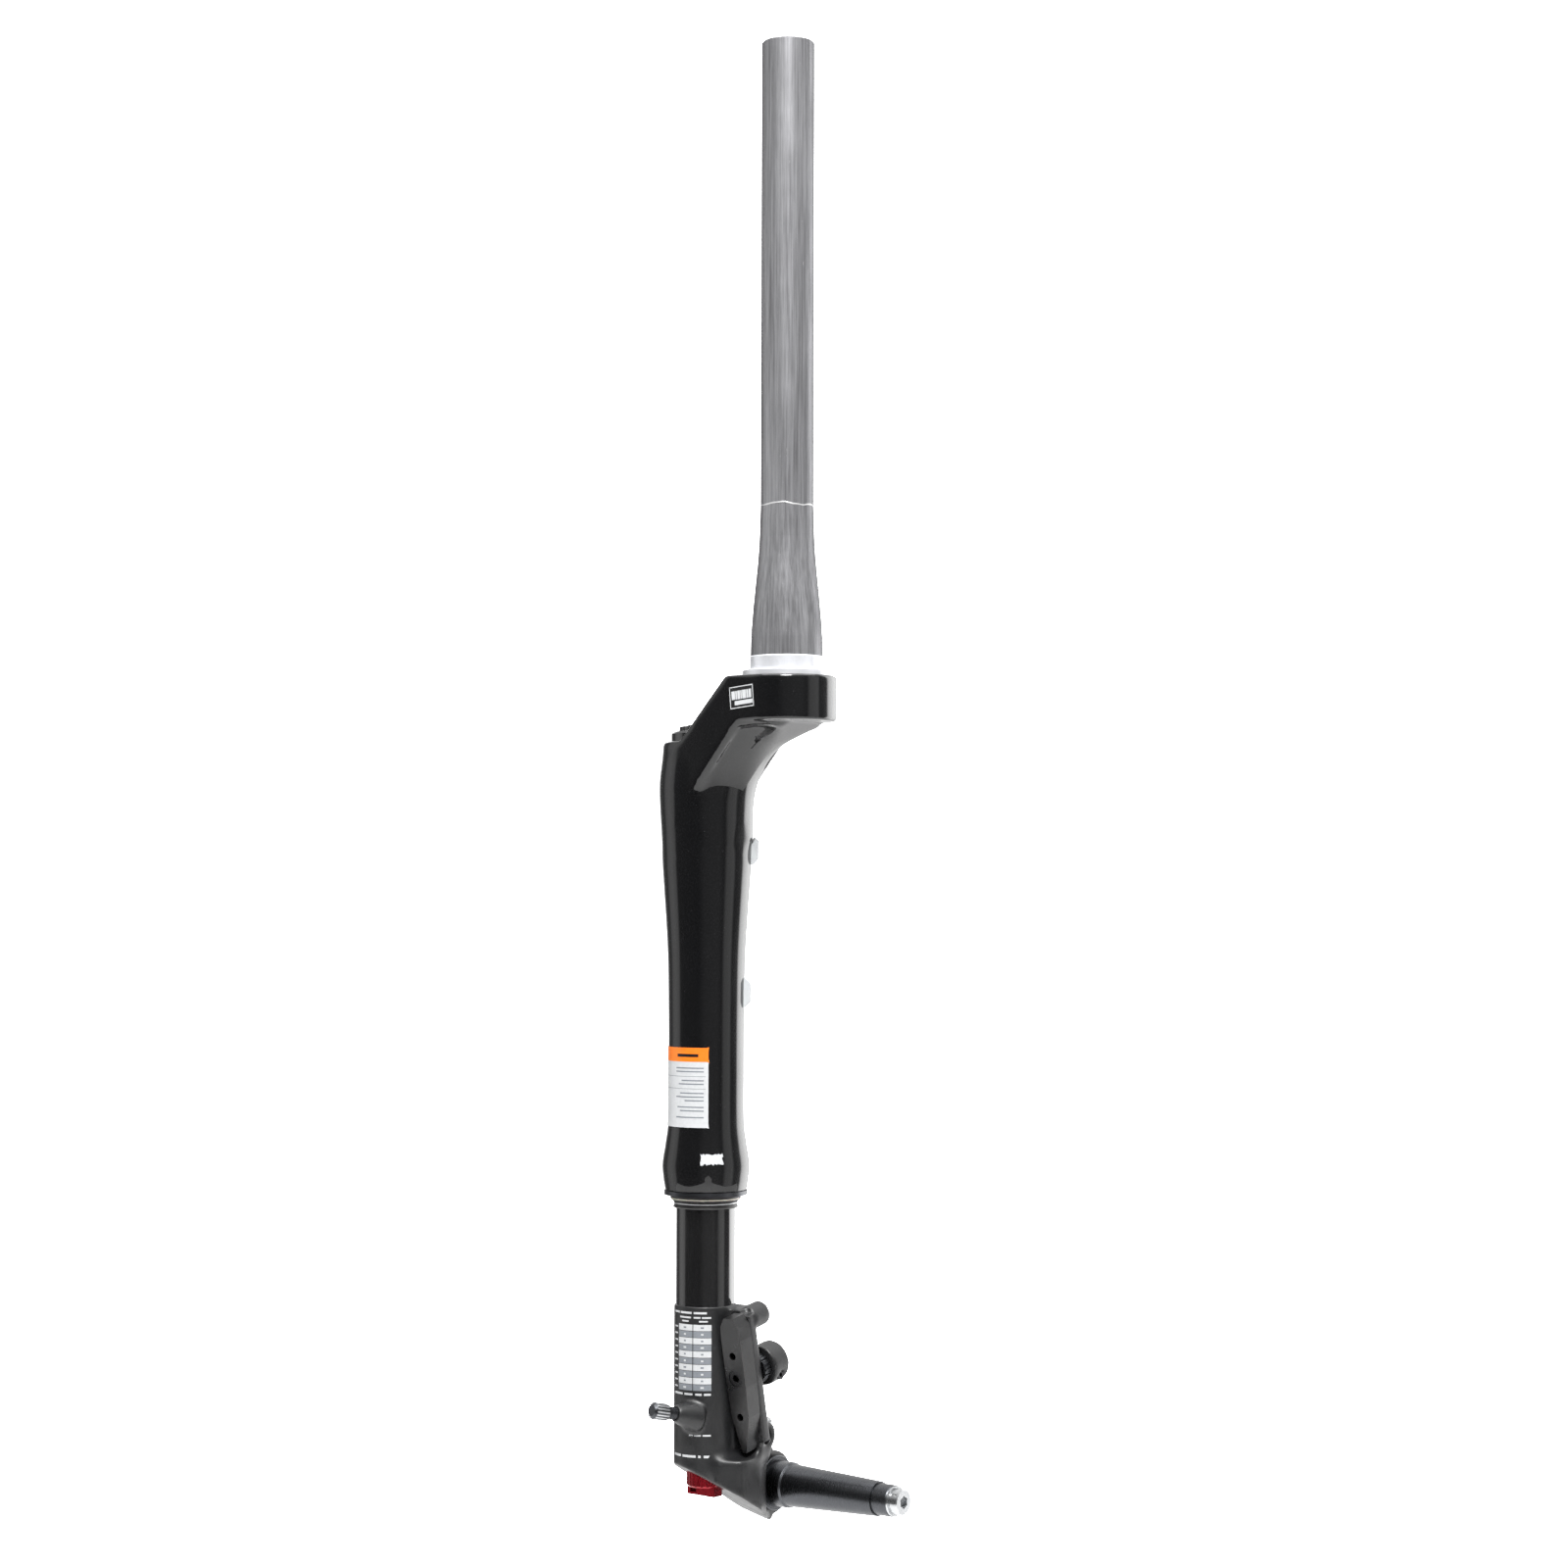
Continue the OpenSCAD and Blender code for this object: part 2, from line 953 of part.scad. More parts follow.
module valve_body() {
    color(gunmetal)
        along_valve()
            difference() {
                union() {
                    translate([0, 0, -3])
                        cylinder(r = valve_stem_r, h = 30);
                    for (z = [15.2:0.8:19])
                        translate([0, 0, z])
                            cylinder(r = valve_stem_r + 0.25, h = 0.4);
                }
                translate([0, 0, -4])
                    cylinder(r = 1.6, h = 32);
            }
}

module valve_core() {
    color(bronze)
        along_valve()
            union() {
                translate([0, 0, 6])
                    cylinder(r = 1.6, h = 14);
                translate([0, 0, 20 - eps])
                    cylinder(r = 0.6, h = 5);
            }
}

module valve_cap_gasket() {
    color(rubber_black)
        along_valve()
            tube(2.9, 1.2, 27.3, 28.1);
}

module valve_cap() {
    color(gunmetal)
        along_valve()
            difference() {
                union() {
                    translate([0, 0, 19.6])
                        cylinder(r1 = 3.9, r2 = 4.3, h = 0.8);
                    translate([0, 0, 20.4 - eps])
                        cylinder(r = 4.3, h = 8.8);
                    translate([0, 0, 29.2 - 2 * eps])
                        cylinder(r1 = 4.3, r2 = 3, h = 1.3);
                }
                translate([0, 0, 19])
                    cylinder(r = valve_stem_r + run_gap, h = 9.5);
                for (a = [0:18:359])
                    rotate([0, 0, a])
                        translate([4.5, 0, 21.4])
                            cylinder(r = 0.42, h = 6.6, $fn = 16);
            }
}

// ---------- brake adapter ----------

module brake_adapter() {
    color(satin_black)
        on_caliper_face()
            difference() {
                translate([0, 0, -10])
                    linear_extrude(10)
                        polygon([[-3, -38], [3, -38], [6, -33], [6.5, -26], [6.5, 0], [5.8, 17],
                            [1.3, 37], [-1.3, 37], [-5.8, 17], [-6.5, 0], [-6.5, -26], [-6, -33]]);
                for (y = [-caliper_pitch / 2, caliper_pitch / 2])
                    translate([0, y, -11])
                        cylinder(r = 2.1, h = 12);
                translate([0, lock_y, -11])
                    cylinder(r = 3.05, h = 12);
                translate([0, lock_y, -4.5])
                    cylinder(r = 4.6, h = 6);
                for (y = pin_rows)
                    translate([0, y, -11])
                        cylinder(r = 2.5, h = 7);
            }
}

module brake_guide_pins() {
    color(steel)
        on_caliper_face()
            for (y = pin_rows)
                translate([0, y, -23])
                    cylinder(r = 2.5, h = 19);
}

module brake_lock_bolt() {
    color(steel)
        on_caliper_face()
            translate([0, lock_y, 0])
                difference() {
                    union() {
                        translate([0, 0, -4.5])
                            cylinder(r = 4.4, h = 4);
                        translate([0, 0, -36])
                            cylinder(r = 3.05, h = 31.5 + eps);
                    }
                    translate([0, 0, -2.9])
                        cylinder(r = 2.3, h = 3, $fn = 6);
                }
}

module knurled_lock_nut() {
    color(steel)
        on_caliper_face()
            translate([0, lock_y, -21.9])
                difference() {
                    cylinder(r = 7.9, h = 5.4);
                    translate([0, 0, -1])
                        cylinder(r = 3.05, h = 8);
                    for (a = [0:20:359])
                        rotate([0, 0, a])
                            translate([8.1, 0, -1])
                                cylinder(r = 0.7, h = 8, $fn = 16);
                }
}

module brake_boss_screw() {
    color(steel)
        on_caliper_face()
            translate([-8.6, lock_y + 6, -28])
                rotate([0, 90, 0])
                    difference() {
                        union() {
                            cylinder(r = 2.7, h = 1.2);
                            translate([0, 0, 1.2 - eps])
                                cylinder(r = 2.1, h = 14);
                        }
                        translate([0, 0, -1])
                            cylinder(r = 1.3, h = 1.8, $fn = 6);
                    }
}

steerer_tube();
crown_race_seat();
crown_and_outer_leg();
top_cap();
top_cap_oring();
lockout_dial();
dial_screw();
lockout_spindle();
dial_detent_ball();
damper_cartridge();
compression_valve();
floating_piston();
floating_piston_oring();
shaft_seal_head();
shaft_seal();
topout_bumper();
air_piston();
air_piston_seal();
outer_race_strips();
race_retaining_ring();
roller_cages();
needle_rollers();
inner_race_strips();
lower_bushing();
foam_ring();
seal_collar();
collar_oring();
seal_retaining_ring();
wiper_seal();
wiper_garter_spring();
hose_guides();
hose_guide_screws();
inner_leg_tube();
lower_leg_casting();
axle_spindle();
axle_washer();
axle_bolt();
damper_shaft();
damper_piston();
piston_glide_ring();
piston_nut();
bottom_out_bumper();
foot_bulkhead();
bulkhead_oring();
foot_nut();
rebound_rod();
rebound_knob();
knob_grub_screw();
valve_body();
valve_core();
valve_cap_gasket();
valve_cap();
brake_adapter();
brake_guide_pins();
brake_lock_bolt();
knurled_lock_nut();
brake_boss_screw();
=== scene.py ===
"""Looks of a single-sided suspension fork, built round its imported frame.

Metres throughout. +Z runs up the steering axis, the leg stands at +X and the fork's front faces -Y.
"""

import math

import bmesh
import bpy
from bpy.props import FloatProperty, FloatVectorProperty, IntProperty, PointerProperty
from mathutils import Matrix, Vector


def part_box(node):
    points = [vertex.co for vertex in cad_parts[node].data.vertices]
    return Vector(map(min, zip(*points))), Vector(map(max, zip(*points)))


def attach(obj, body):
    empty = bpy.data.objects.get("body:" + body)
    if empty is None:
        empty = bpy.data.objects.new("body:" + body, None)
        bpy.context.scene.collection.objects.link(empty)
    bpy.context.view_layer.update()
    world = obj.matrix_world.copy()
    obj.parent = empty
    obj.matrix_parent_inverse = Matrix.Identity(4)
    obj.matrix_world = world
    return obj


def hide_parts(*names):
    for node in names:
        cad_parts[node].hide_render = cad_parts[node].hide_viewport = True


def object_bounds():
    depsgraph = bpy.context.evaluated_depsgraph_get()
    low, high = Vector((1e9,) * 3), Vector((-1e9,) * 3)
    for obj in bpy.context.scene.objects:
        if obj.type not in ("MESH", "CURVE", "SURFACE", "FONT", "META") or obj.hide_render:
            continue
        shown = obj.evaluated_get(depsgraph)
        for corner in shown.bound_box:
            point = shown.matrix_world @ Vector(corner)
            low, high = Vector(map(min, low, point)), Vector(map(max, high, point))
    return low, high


bl_info = {
    "name": "Suspension fork finish",
    "version": (1, 0, 0),
    "blender": (4, 5, 0),
    "location": "3D View > Sidebar > Fork",
    "description": "Paint, castings, labels and studio for a single-sided suspension fork",
    "category": "Add Mesh",
}

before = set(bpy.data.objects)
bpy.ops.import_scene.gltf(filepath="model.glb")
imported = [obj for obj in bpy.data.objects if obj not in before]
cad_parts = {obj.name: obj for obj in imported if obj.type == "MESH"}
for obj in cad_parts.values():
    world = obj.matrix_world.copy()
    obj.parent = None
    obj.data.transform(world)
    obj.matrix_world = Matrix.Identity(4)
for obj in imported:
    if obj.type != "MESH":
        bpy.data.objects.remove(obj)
CAD_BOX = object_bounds()

MM = 0.001


def middle(node):
    """Centre of a CAD node's box."""
    low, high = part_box(node)
    return (low + high) / 2


LEG = middle("inner_leg_tube")
AXLE = middle("axle_washer")
LEG_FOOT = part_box("crown_and_outer_leg")[0].z
CASTING_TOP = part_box("lower_leg_casting")[1].z
CASTING_RADIUS = 17 * MM


# ---------- settings ----------


def colour(label, about, value):
    return FloatVectorProperty(
        name=label, description=about, default=value, size=3, min=0, max=1, subtype="COLOR"
    )


def length(label, about, value):
    return FloatProperty(name=label, description=about, default=value, unit="LENGTH")


def angle(label, about, degrees):
    return FloatProperty(name=label, description=about, default=math.radians(degrees), subtype="ANGLE")


def power(label, about, watts):
    return FloatProperty(name=label, description=about, default=watts, min=0, unit="POWER")


class FinishSettings(bpy.types.PropertyGroup):
    """Colours and surface of each finish."""

    carbon: colour("Carbon", "Clear-coated carbon of the steerer", (0.27, 0.27, 0.28))
    carbon_streak: colour("Carbon streak", "Darker fibres of the steerer", (0.13, 0.13, 0.135))
    paint: colour("Paint", "Gloss paint of the crown and outer leg", (0.0035, 0.0036, 0.004))
    casting: colour("Casting", "Satin paint of the lower casting", (0.010, 0.0102, 0.011))
    adapter: colour("Adapter", "Smoother black of the brake adapter", (0.005, 0.005, 0.0055))
    anodised: colour("Black anodising", "Anodised inner leg", (0.006, 0.006, 0.0065))
    bright_alloy: colour("Bright alloy", "Turned and polished alloy", (0.90, 0.91, 0.93))
    grey_alloy: colour("Grey alloy", "Grey anodised alloy", (0.085, 0.088, 0.095))
    steel: colour("Steel", "Plated steel", (0.55, 0.56, 0.57))
    bronze: colour("Bronze", "Bronze pistons", (0.50, 0.30, 0.12))
    rubber: colour("Rubber", "Black seals", (0.018, 0.018, 0.019))
    cream: colour("Cream", "Cream backing ring", (0.72, 0.69, 0.58))
    foam: colour("Foam", "Oil-soaked foam", (0.10, 0.095, 0.085))
    pale: colour("Pale plastic", "Hose guides", (0.55, 0.57, 0.58))
    red: colour("Red", "Anodised rebound knob", (0.30, 0.005, 0.014))
    white_print: colour("White print", "Labels and marks", (0.55, 0.56, 0.57))
    orange_print: colour("Orange print", "Head band of the leg's label", (0.85, 0.19, 0.01))
    grey_print: colour("Grey print", "Rows of the labels", (0.20, 0.215, 0.235))
    dark_print: colour("Dark print", "Ground of the crown's sticker", (0.004, 0.004, 0.0045))
    race_seat: colour("Race seat", "Polished ring under the lower bearing", (0.78, 0.79, 0.82))
    screw: colour("Screw", "Blackened screws of the brake mount", (0.05, 0.05, 0.052))
    scuff: colour("Scuff", "Scuffed clear coat of the steerer", (0.45, 0.45, 0.46))
    resin: colour("Resin", "Line of resin round the steerer", (0.6, 0.6, 0.6))
    resin_height: length("Resin height", "Height of the line of resin on the steerer", 88.5 * MM)
    fibre_pitch: length("Fibre pitch", "Width of one streak of fibres", 1.1 * MM)


class StageSettings(bpy.types.PropertyGroup):
    """Camera, floor and light."""

    azimuth: angle("Azimuth", "Direction that the camera looks from", 218)
    pitch: angle("Pitch", "Upward tilt of the camera", 1.95)
    roll: angle("Roll", "Roll of the camera", 0.15)
    distance: length("Distance", "From the steering axis to the camera", 1.627)
    sideways: length("Sideways", "Camera's offset to its right", -0.0015)
    height: length("Height", "Camera above the crown race shoulder", -0.1164)
    focal_length: FloatProperty(name="Focal length", description="Lens in millimetres on a 36 mm sensor",
                                default=69.75)
    floor_drop: length("Floor drop", "Gap between the fork and the floor", 0.5)
    floor_size: length("Floor size", "Side of the floor", 3.2)
    overhead_size: length("Overhead lamp size", "Side of the lamp overhead", 2.4)
    overhead_power: power("Overhead lamp power", "Power of the lamp overhead", 60)
    viewer_size: length("Viewer's lamp size", "Side of the lamp on the camera's side", 0.6)
    viewer_power: power("Viewer's lamp power", "Power of the lamp on the camera's side", 55)


# ---------- shader helpers ----------


def add_node(tree, kind, values=(), **settings):
    """One node; values are (input, number or socket) pairs."""
    made = tree.nodes.new(kind)
    for key, value in settings.items():
        setattr(made, key, value)
    for key, value in values:
        if isinstance(value, bpy.types.NodeSocket):
            tree.links.new(value, made.inputs[key])
        else:
            made.inputs[key].default_value = value
    return made


def surface(name, base, roughness, metallic=0.0, **sockets):
    """A principled material with uniform values on its own sockets."""
    material = bpy.data.materials.new(name)
    material.use_nodes = True
    material.diffuse_color = (*base, 1)
    tree = material.node_tree
    shader = tree.nodes["Principled BSDF"]
    shader.inputs["Base Color"].default_value = (*base, 1)
    shader.inputs["Roughness"].default_value = roughness
    shader.inputs["Metallic"].default_value = metallic
    for key, value in sockets.items():
        shader.inputs[key.replace("_", " ").title().replace("Ior", "IOR")].default_value = value
    return material, tree, shader


def place_of(tree, centre=(0, 0, 0), stretch=(1, 1, 1)):
    """Object coordinates, moved to a centre and stretched."""
    coords = add_node(tree, "ShaderNodeTexCoord")
    moved = add_node(tree, "ShaderNodeVectorMath",
                     [(0, coords.outputs["Object"]), (1, tuple(centre))], operation="SUBTRACT")
    scaled = add_node(tree, "ShaderNodeVectorMath",
                      [(0, moved.outputs[0]), (1, tuple(stretch))], operation="MULTIPLY")
    return scaled.outputs[0]


def noise(tree, vector, scale, detail=3.0, roughness=0.55, distortion=0.0):
    made = add_node(tree, "ShaderNodeTexNoise", [
        ("Vector", vector), ("Scale", scale), ("Detail", detail),
        ("Roughness", roughness), ("Distortion", distortion)])
    return made.outputs["Fac"]


def remap(tree, value, low, high, to_low, to_high):
    made = add_node(tree, "ShaderNodeMapRange", [
        ("Value", value), ("From Min", low), ("From Max", high),
        ("To Min", to_low), ("To Max", to_high)])
    return made.outputs["Result"]


def mix_colours(tree, factor, first, second):
    made = tree.nodes.new("ShaderNodeMix")
    made.data_type = "RGBA"
    for index, value in ((0, factor), (6, first), (7, second)):
        if isinstance(value, bpy.types.NodeSocket):
            tree.links.new(value, made.inputs[index])
        elif index:
            made.inputs[index].default_value = (*value, 1)
        else:
            made.inputs[index].default_value = value
    return made.outputs[2]


def combine(tree, operation, first, second):
    return add_node(tree, "ShaderNodeMath", [(0, first), (1, second)], operation=operation).outputs[0]


def set_bump(tree, shader, height, distance):
    bump = add_node(tree, "ShaderNodeBump", [("Height", height), ("Distance", distance), ("Strength", 1.0)])
    tree.links.new(bump.outputs["Normal"], shader.inputs["Normal"])


def link(tree, output, shader, socket):
    tree.links.new(output, shader.inputs[socket])


def around(tree, centre, along):
    """Distance along and away from a turning axis, for tool marks."""
    place = place_of(tree, centre)
    parts = add_node(tree, "ShaderNodeSeparateXYZ", [(0, place)])
    flat = {"z": (1, 1, 0), "x": (0, 1, 1)}[along]
    off = add_node(tree, "ShaderNodeVectorMath", [(0, place), (1, flat)], operation="MULTIPLY")
    radius = add_node(tree, "ShaderNodeVectorMath", [(0, off.outputs[0])], operation="LENGTH")
    return combine(tree, "ADD", radius.outputs["Value"], parts.outputs[along.upper()])


def tool_marks(tree, shader, centre, along, pitch, depth, low, high):
    """Fine turned rings in the relief and in the roughness."""
    run = around(tree, centre, along)
    rings = add_node(tree, "ShaderNodeTexNoise", [
        ("W", run), ("Scale", 1 / pitch), ("Detail", 2.0)], noise_dimensions="1D").outputs["Fac"]
    set_bump(tree, shader, rings, depth)
    link(tree, remap(tree, rings, 0.3, 0.7, low, high), shader, "Roughness")
    return rings


# ---------- finishes ----------


def settings():
    return bpy.context.scene.fork_finish


def carbon_finish():
    """Clear-coated unidirectional carbon with long fibres, scuffs and a line of resin above the taper."""
    s = settings()
    material, tree, shader = surface("raw carbon", s.carbon, 0.4, 0.5, specular_ior_level=0.1)
    shader.inputs["Specular Tint"].default_value = (0.12, 0.12, 0.12, 1)
    fibre_stretch = 0.025
    fibres = noise(tree, place_of(tree, stretch=(1, 1, fibre_stretch)), 1 / s.fibre_pitch, 4.0, 0.6)
    broad = noise(tree, place_of(tree, stretch=(1, 1, 0.08)), 90, 3.0)
    haze = noise(tree, place_of(tree), 38, 5.0, 0.6)
    scuffs = noise(tree, place_of(tree, stretch=(1, 1, 0.3)), 420, 6.0, 0.75, 0.4)
    fibre_mix = remap(tree, combine(tree, "ADD", fibres, broad), 0.75, 1.25, 0, 1)
    base = mix_colours(tree, fibre_mix, s.carbon_streak, s.carbon)
    worn = remap(tree, scuffs, 0.66, 0.74, 0, 0.7)
    base = mix_colours(tree, worn, base, s.scuff)
    # uneven line of resin where the wrap of the taper ends
    place = add_node(tree, "ShaderNodeSeparateXYZ", [(0, place_of(tree))])
    reach = 1.2 * MM
    wander = remap(tree, noise(tree, place_of(tree), 55, 2.0), 0.3, 0.7, -reach, reach)
    level = combine(tree, "ADD", place.outputs["Z"], wander)
    apart = add_node(tree, "ShaderNodeMath", [(0, combine(tree, "SUBTRACT", level, s.resin_height))],
                     operation="ABSOLUTE").outputs[0]
    line = remap(tree, apart, 0.15 * MM, 0.5 * MM, 1, 0)
    base = mix_colours(tree, line, base, s.resin)
    link(tree, base, shader, "Base Color")
    link(tree, remap(tree, haze, 0.3, 0.75, 0.3, 0.44), shader, "Roughness")
    relief = combine(tree, "ADD", combine(tree, "MULTIPLY", fibres, 0.35),
                     combine(tree, "MULTIPLY", line, 1.5))
    set_bump(tree, shader, relief, 0.00006)
    return material


def paint_finish():
    """Deep gloss black with a slight orange peel and dust in the clear coat."""
    s = settings()
    material, tree, shader = surface("gloss black paint", s.paint, 0.3, 0.0, specular_ior_level=0.06,
                                     coat_weight=1.0, coat_roughness=0.02)
    peel = noise(tree, place_of(tree), 260, 2.0)
    drift = noise(tree, place_of(tree), 14, 3.0)
    set_bump(tree, shader, combine(tree, "ADD", combine(tree, "MULTIPLY", peel, 0.12), drift), 0.00002)
    smear = noise(tree, place_of(tree, stretch=(1, 1, 0.35)), 60, 5.0, 0.65)
    link(tree, remap(tree, smear, 0.35, 0.75, 0.25, 0.45), shader, "Roughness")
    specks = noise(tree, place_of(tree), 900, 1.0)
    base = mix_colours(tree, remap(tree, specks, 0.74, 0.8, 0, 0.5), s.paint, (0.05, 0.05, 0.052))
    link(tree, base, shader, "Base Color")
    return material


def casting_finish(name, base, low, high, relief=0.00008):
    """Satin black paint over a fine cast skin, rubbed a little brighter in patches."""
    material, tree, shader = surface(name, base, (low + high) / 2, 0.0)
    skin = noise(tree, place_of(tree), 1500, 4.0, 0.6)
    lump = noise(tree, place_of(tree), 120, 3.0)
    set_bump(tree, shader, combine(tree, "ADD", combine(tree, "MULTIPLY", skin, 0.25), lump), relief)
    link(tree, remap(tree, lump, 0.3, 0.7, low, high), shader, "Roughness")
    rubbed = remap(tree, noise(tree, place_of(tree), 75, 6.0, 0.7), 0.62, 0.78, 0, 1)
    link(tree, mix_colours(tree, rubbed, base, tuple(c * 2.8 for c in base)), shader, "Base Color")
    return material


def anodised_finish():
    """Hard black anodising on the sliding leg, with faint stroke marks."""
    s = settings()
    material, tree, shader = surface("black anodised", s.anodised, 0.1, 0.0,
                                     coat_weight=0.6, coat_roughness=0.05)
    strokes = noise(tree, place_of(tree, stretch=(1, 1, 0.03)), 1400, 3.0)
    film = noise(tree, place_of(tree), 45, 4.0)
    link(tree, remap(tree, film, 0.3, 0.7, 0.06, 0.2), shader, "Roughness")
    set_bump(tree, shader, strokes, 0.00001)
    link(tree, mix_colours(tree, remap(tree, strokes, 0.6, 0.8, 0, 0.6), s.anodised, (0.02, 0.02, 0.021)),
         shader, "Base Color")
    return material


def turned_finish(name, base, centre, along="z", pitch=0.00035, low=0.12, high=0.3, tint=0.8, metallic=1.0):
    """Alloy or steel straight off the lathe."""
    material, tree, shader = surface(name, base, 0.2, metallic)
    rings = tool_marks(tree, shader, centre, along, pitch, 0.000012, low, high)
    darker = tuple(c * tint for c in base)
    stain = noise(tree, place_of(tree), 110, 4.0)
    factor = combine(tree, "MULTIPLY", remap(tree, stain, 0.35, 0.7, 0.4, 1),
                     remap(tree, rings, 0.2, 0.8, 0.5, 1))
    link(tree, mix_colours(tree, factor, darker, base), shader, "Base Color")
    return material


def rubber_finish():
    """Matt rubber, wiped a little smoother in places."""
    s = settings()
    material, tree, shader = surface("black rubber", s.rubber, 0.45, 0.0)
    grain = noise(tree, place_of(tree), 2200, 3.0)
    wipe = noise(tree, place_of(tree), 160, 4.0)
    set_bump(tree, shader, grain, 0.00004)
    link(tree, remap(tree, wipe, 0.3, 0.7, 0.32, 0.6), shader, "Roughness")
    link(tree, mix_colours(tree, wipe, s.rubber, (0.035, 0.034, 0.033)), shader, "Base Color")
    return material


def plastic_finish(name, base, roughness, subsurface=0.0):
    """Moulded plastic, faintly mottled."""
    material, tree, shader = surface(name, base, roughness, 0.0, subsurface_weight=subsurface)
    shader.inputs["Subsurface Scale"].default_value = 0.002
    mottle = noise(tree, place_of(tree), 300, 4.0)
    link(tree, mix_colours(tree, mottle, tuple(c * 0.82 for c in base), base), shader, "Base Color")
    link(tree, remap(tree, mottle, 0.3, 0.7, roughness * 0.85, roughness * 1.15), shader, "Roughness")
    set_bump(tree, shader, mottle, 0.00003)
    return material


def foam_finish():
    """Open-celled foam, with painted shade in the pits of its cells."""
    s = settings()
    material, tree, shader = surface("grey foam", s.foam, 0.95, 0.0)
    cell_depth_and_pore_shade = add_node(tree, "ShaderNodeTexVoronoi", [
        ("Vector", place_of(tree)), ("Scale", 1600)]).outputs["Distance"]
    set_bump(tree, shader, cell_depth_and_pore_shade, 0.0002)
    # colour runs from near black in the pits of the cells to the foam's own tone: painted shade in the pores
    link(tree, mix_colours(tree, cell_depth_and_pore_shade, (0.03, 0.028, 0.025), s.foam), shader, "Base Color")
    return material


def red_finish():
    """Red anodising over a blasted knob, rubbed by handling."""
    s = settings()
    material, tree, shader = surface("red anodised", s.red, 0.28, 0.85, coat_weight=0.3, coat_roughness=0.1)
    blast = noise(tree, place_of(tree), 1800, 3.0)
    set_bump(tree, shader, blast, 0.00002)
    handled = noise(tree, place_of(tree), 140, 5.0)
    link(tree, remap(tree, handled, 0.3, 0.7, 0.22, 0.38), shader, "Roughness")
    link(tree, mix_colours(tree, handled, tuple(c * 0.7 for c in s.red), s.red), shader, "Base Color")
    return material


def print_finish(name, base, roughness=0.4):
    """Printed vinyl: faintly mottled ink with worn spots."""
    material, tree, shader = surface(name, base, roughness, 0.0)
    mottle = noise(tree, place_of(tree), 700, 4.0)
    link(tree, mix_colours(tree, remap(tree, mottle, 0.3, 0.7, 0, 1), tuple(c * 0.9 for c in base), base),
         shader, "Base Color")
    link(tree, remap(tree, mottle, 0.3, 0.7, roughness * 0.8, roughness * 1.2), shader, "Roughness")
    set_bump(tree, shader, mottle, 0.00001)
    return material


def make_finishes():
    """Every finish by the name of its material slot, and those of single parts by their own names."""
    s = settings()
    leg_axis, axle_axis = (LEG.x, LEG.y, 0), (0, AXLE.y, AXLE.z)
    return {
        "raw_carbon": carbon_finish(),
        "gloss_black_paint": paint_finish(),
        "satin_black_alloy": casting_finish("satin black alloy", s.casting, 0.34, 0.5),
        "black_anodised": anodised_finish(),
        "turned_alloy": turned_finish("turned alloy", s.bright_alloy, leg_axis),
        "grey_alloy": turned_finish("grey alloy", s.grey_alloy, leg_axis, low=0.25, high=0.4),
        "steel": turned_finish("steel", s.steel, leg_axis, low=0.2, high=0.4),
        "bronze": turned_finish("bronze", s.bronze, leg_axis, low=0.25, high=0.4),
        "black_rubber": rubber_finish(),
        "cream_plastic": plastic_finish("cream plastic", s.cream, 0.4, 0.1),
        "grey_foam": foam_finish(),
        "pale_plastic": plastic_finish("pale plastic", s.pale, 0.35),
        "red_anodised": red_finish(),
        "race_seat": turned_finish("polished race seat", s.race_seat, (0, 0, 0), pitch=0.2 * MM,
                                   low=0.3, high=0.45, tint=0.95, metallic=0.6),
        "axle_steel": turned_finish("axle alloy", s.grey_alloy, axle_axis, "x", low=0.22, high=0.4),
        "axle_bright": turned_finish("axle bolt alloy", s.steel, axle_axis, "x"),
        "adapter": casting_finish("adapter black", s.adapter, 0.26, 0.36, 0.00003),
        "dark_screw": turned_finish("blackened screw", s.screw, (LEG.x, 0, 0), low=0.25, high=0.4),
        "white_print": print_finish("white print", s.white_print),
        "orange_print": print_finish("orange print", s.orange_print),
        "grey_print": print_finish("grey print", s.grey_print),
        "dark_print": print_finish("dark print", s.dark_print),
    }


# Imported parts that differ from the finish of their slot
OTHER_FINISH = {
    "crown_race_seat": "race_seat",
    "axle_spindle": "axle_steel",
    "axle_washer": "axle_bright",
    "axle_bolt": "axle_bright",
    "brake_adapter": "adapter",
    "brake_lock_bolt": "dark_screw",
    "brake_boss_screw": "dark_screw",
    "knurled_lock_nut": "grey_alloy",
}


class FORK_OT_finish_parts(bpy.types.Operator):
    """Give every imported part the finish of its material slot"""

    bl_idname = "fork.finish_parts"
    bl_label = "Finish the packed parts"

    def execute(self, context):
        finishes = make_finishes()
        for name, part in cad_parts.items():
            for place in part.material_slots:
                wanted = OTHER_FINISH.get(name, place.material.name.split(".")[0])
                place.material = finishes[wanted]
        return {"FINISHED"}


# ---------- modelling helpers ----------


def smoothstep(value):
    value = min(1.0, max(0.0, value))
    return value * value * (3 - 2 * value)


def only(piece):
    """Make one object the selected and active one."""
    bpy.ops.object.select_all(action="DESELECT")
    piece.select_set(True)
    bpy.context.view_layer.objects.active = piece


def added(name):
    """The primitive just added, renamed, with its place in its mesh."""
    piece = bpy.context.object
    piece.name = name
    piece.data.name = name
    bpy.ops.object.transform_apply(location=True, rotation=True, scale=True)
    return piece


def edit():
    bpy.ops.object.mode_set(mode="EDIT")


def done():
    bpy.ops.object.mode_set(mode="OBJECT")


def pick(kind, test):
    """In edit mode, select the vertices, edges or faces that pass a test."""
    bpy.ops.mesh.select_mode(type=kind)
    bpy.ops.mesh.select_all(action="DESELECT")
    mesh = bmesh.from_edit_mesh(bpy.context.object.data)
    for item in {"VERT": mesh.verts, "EDGE": mesh.edges, "FACE": mesh.faces}[kind]:
        if test(item):
            item.select_set(True)
    bmesh.update_edit_mesh(bpy.context.object.data)


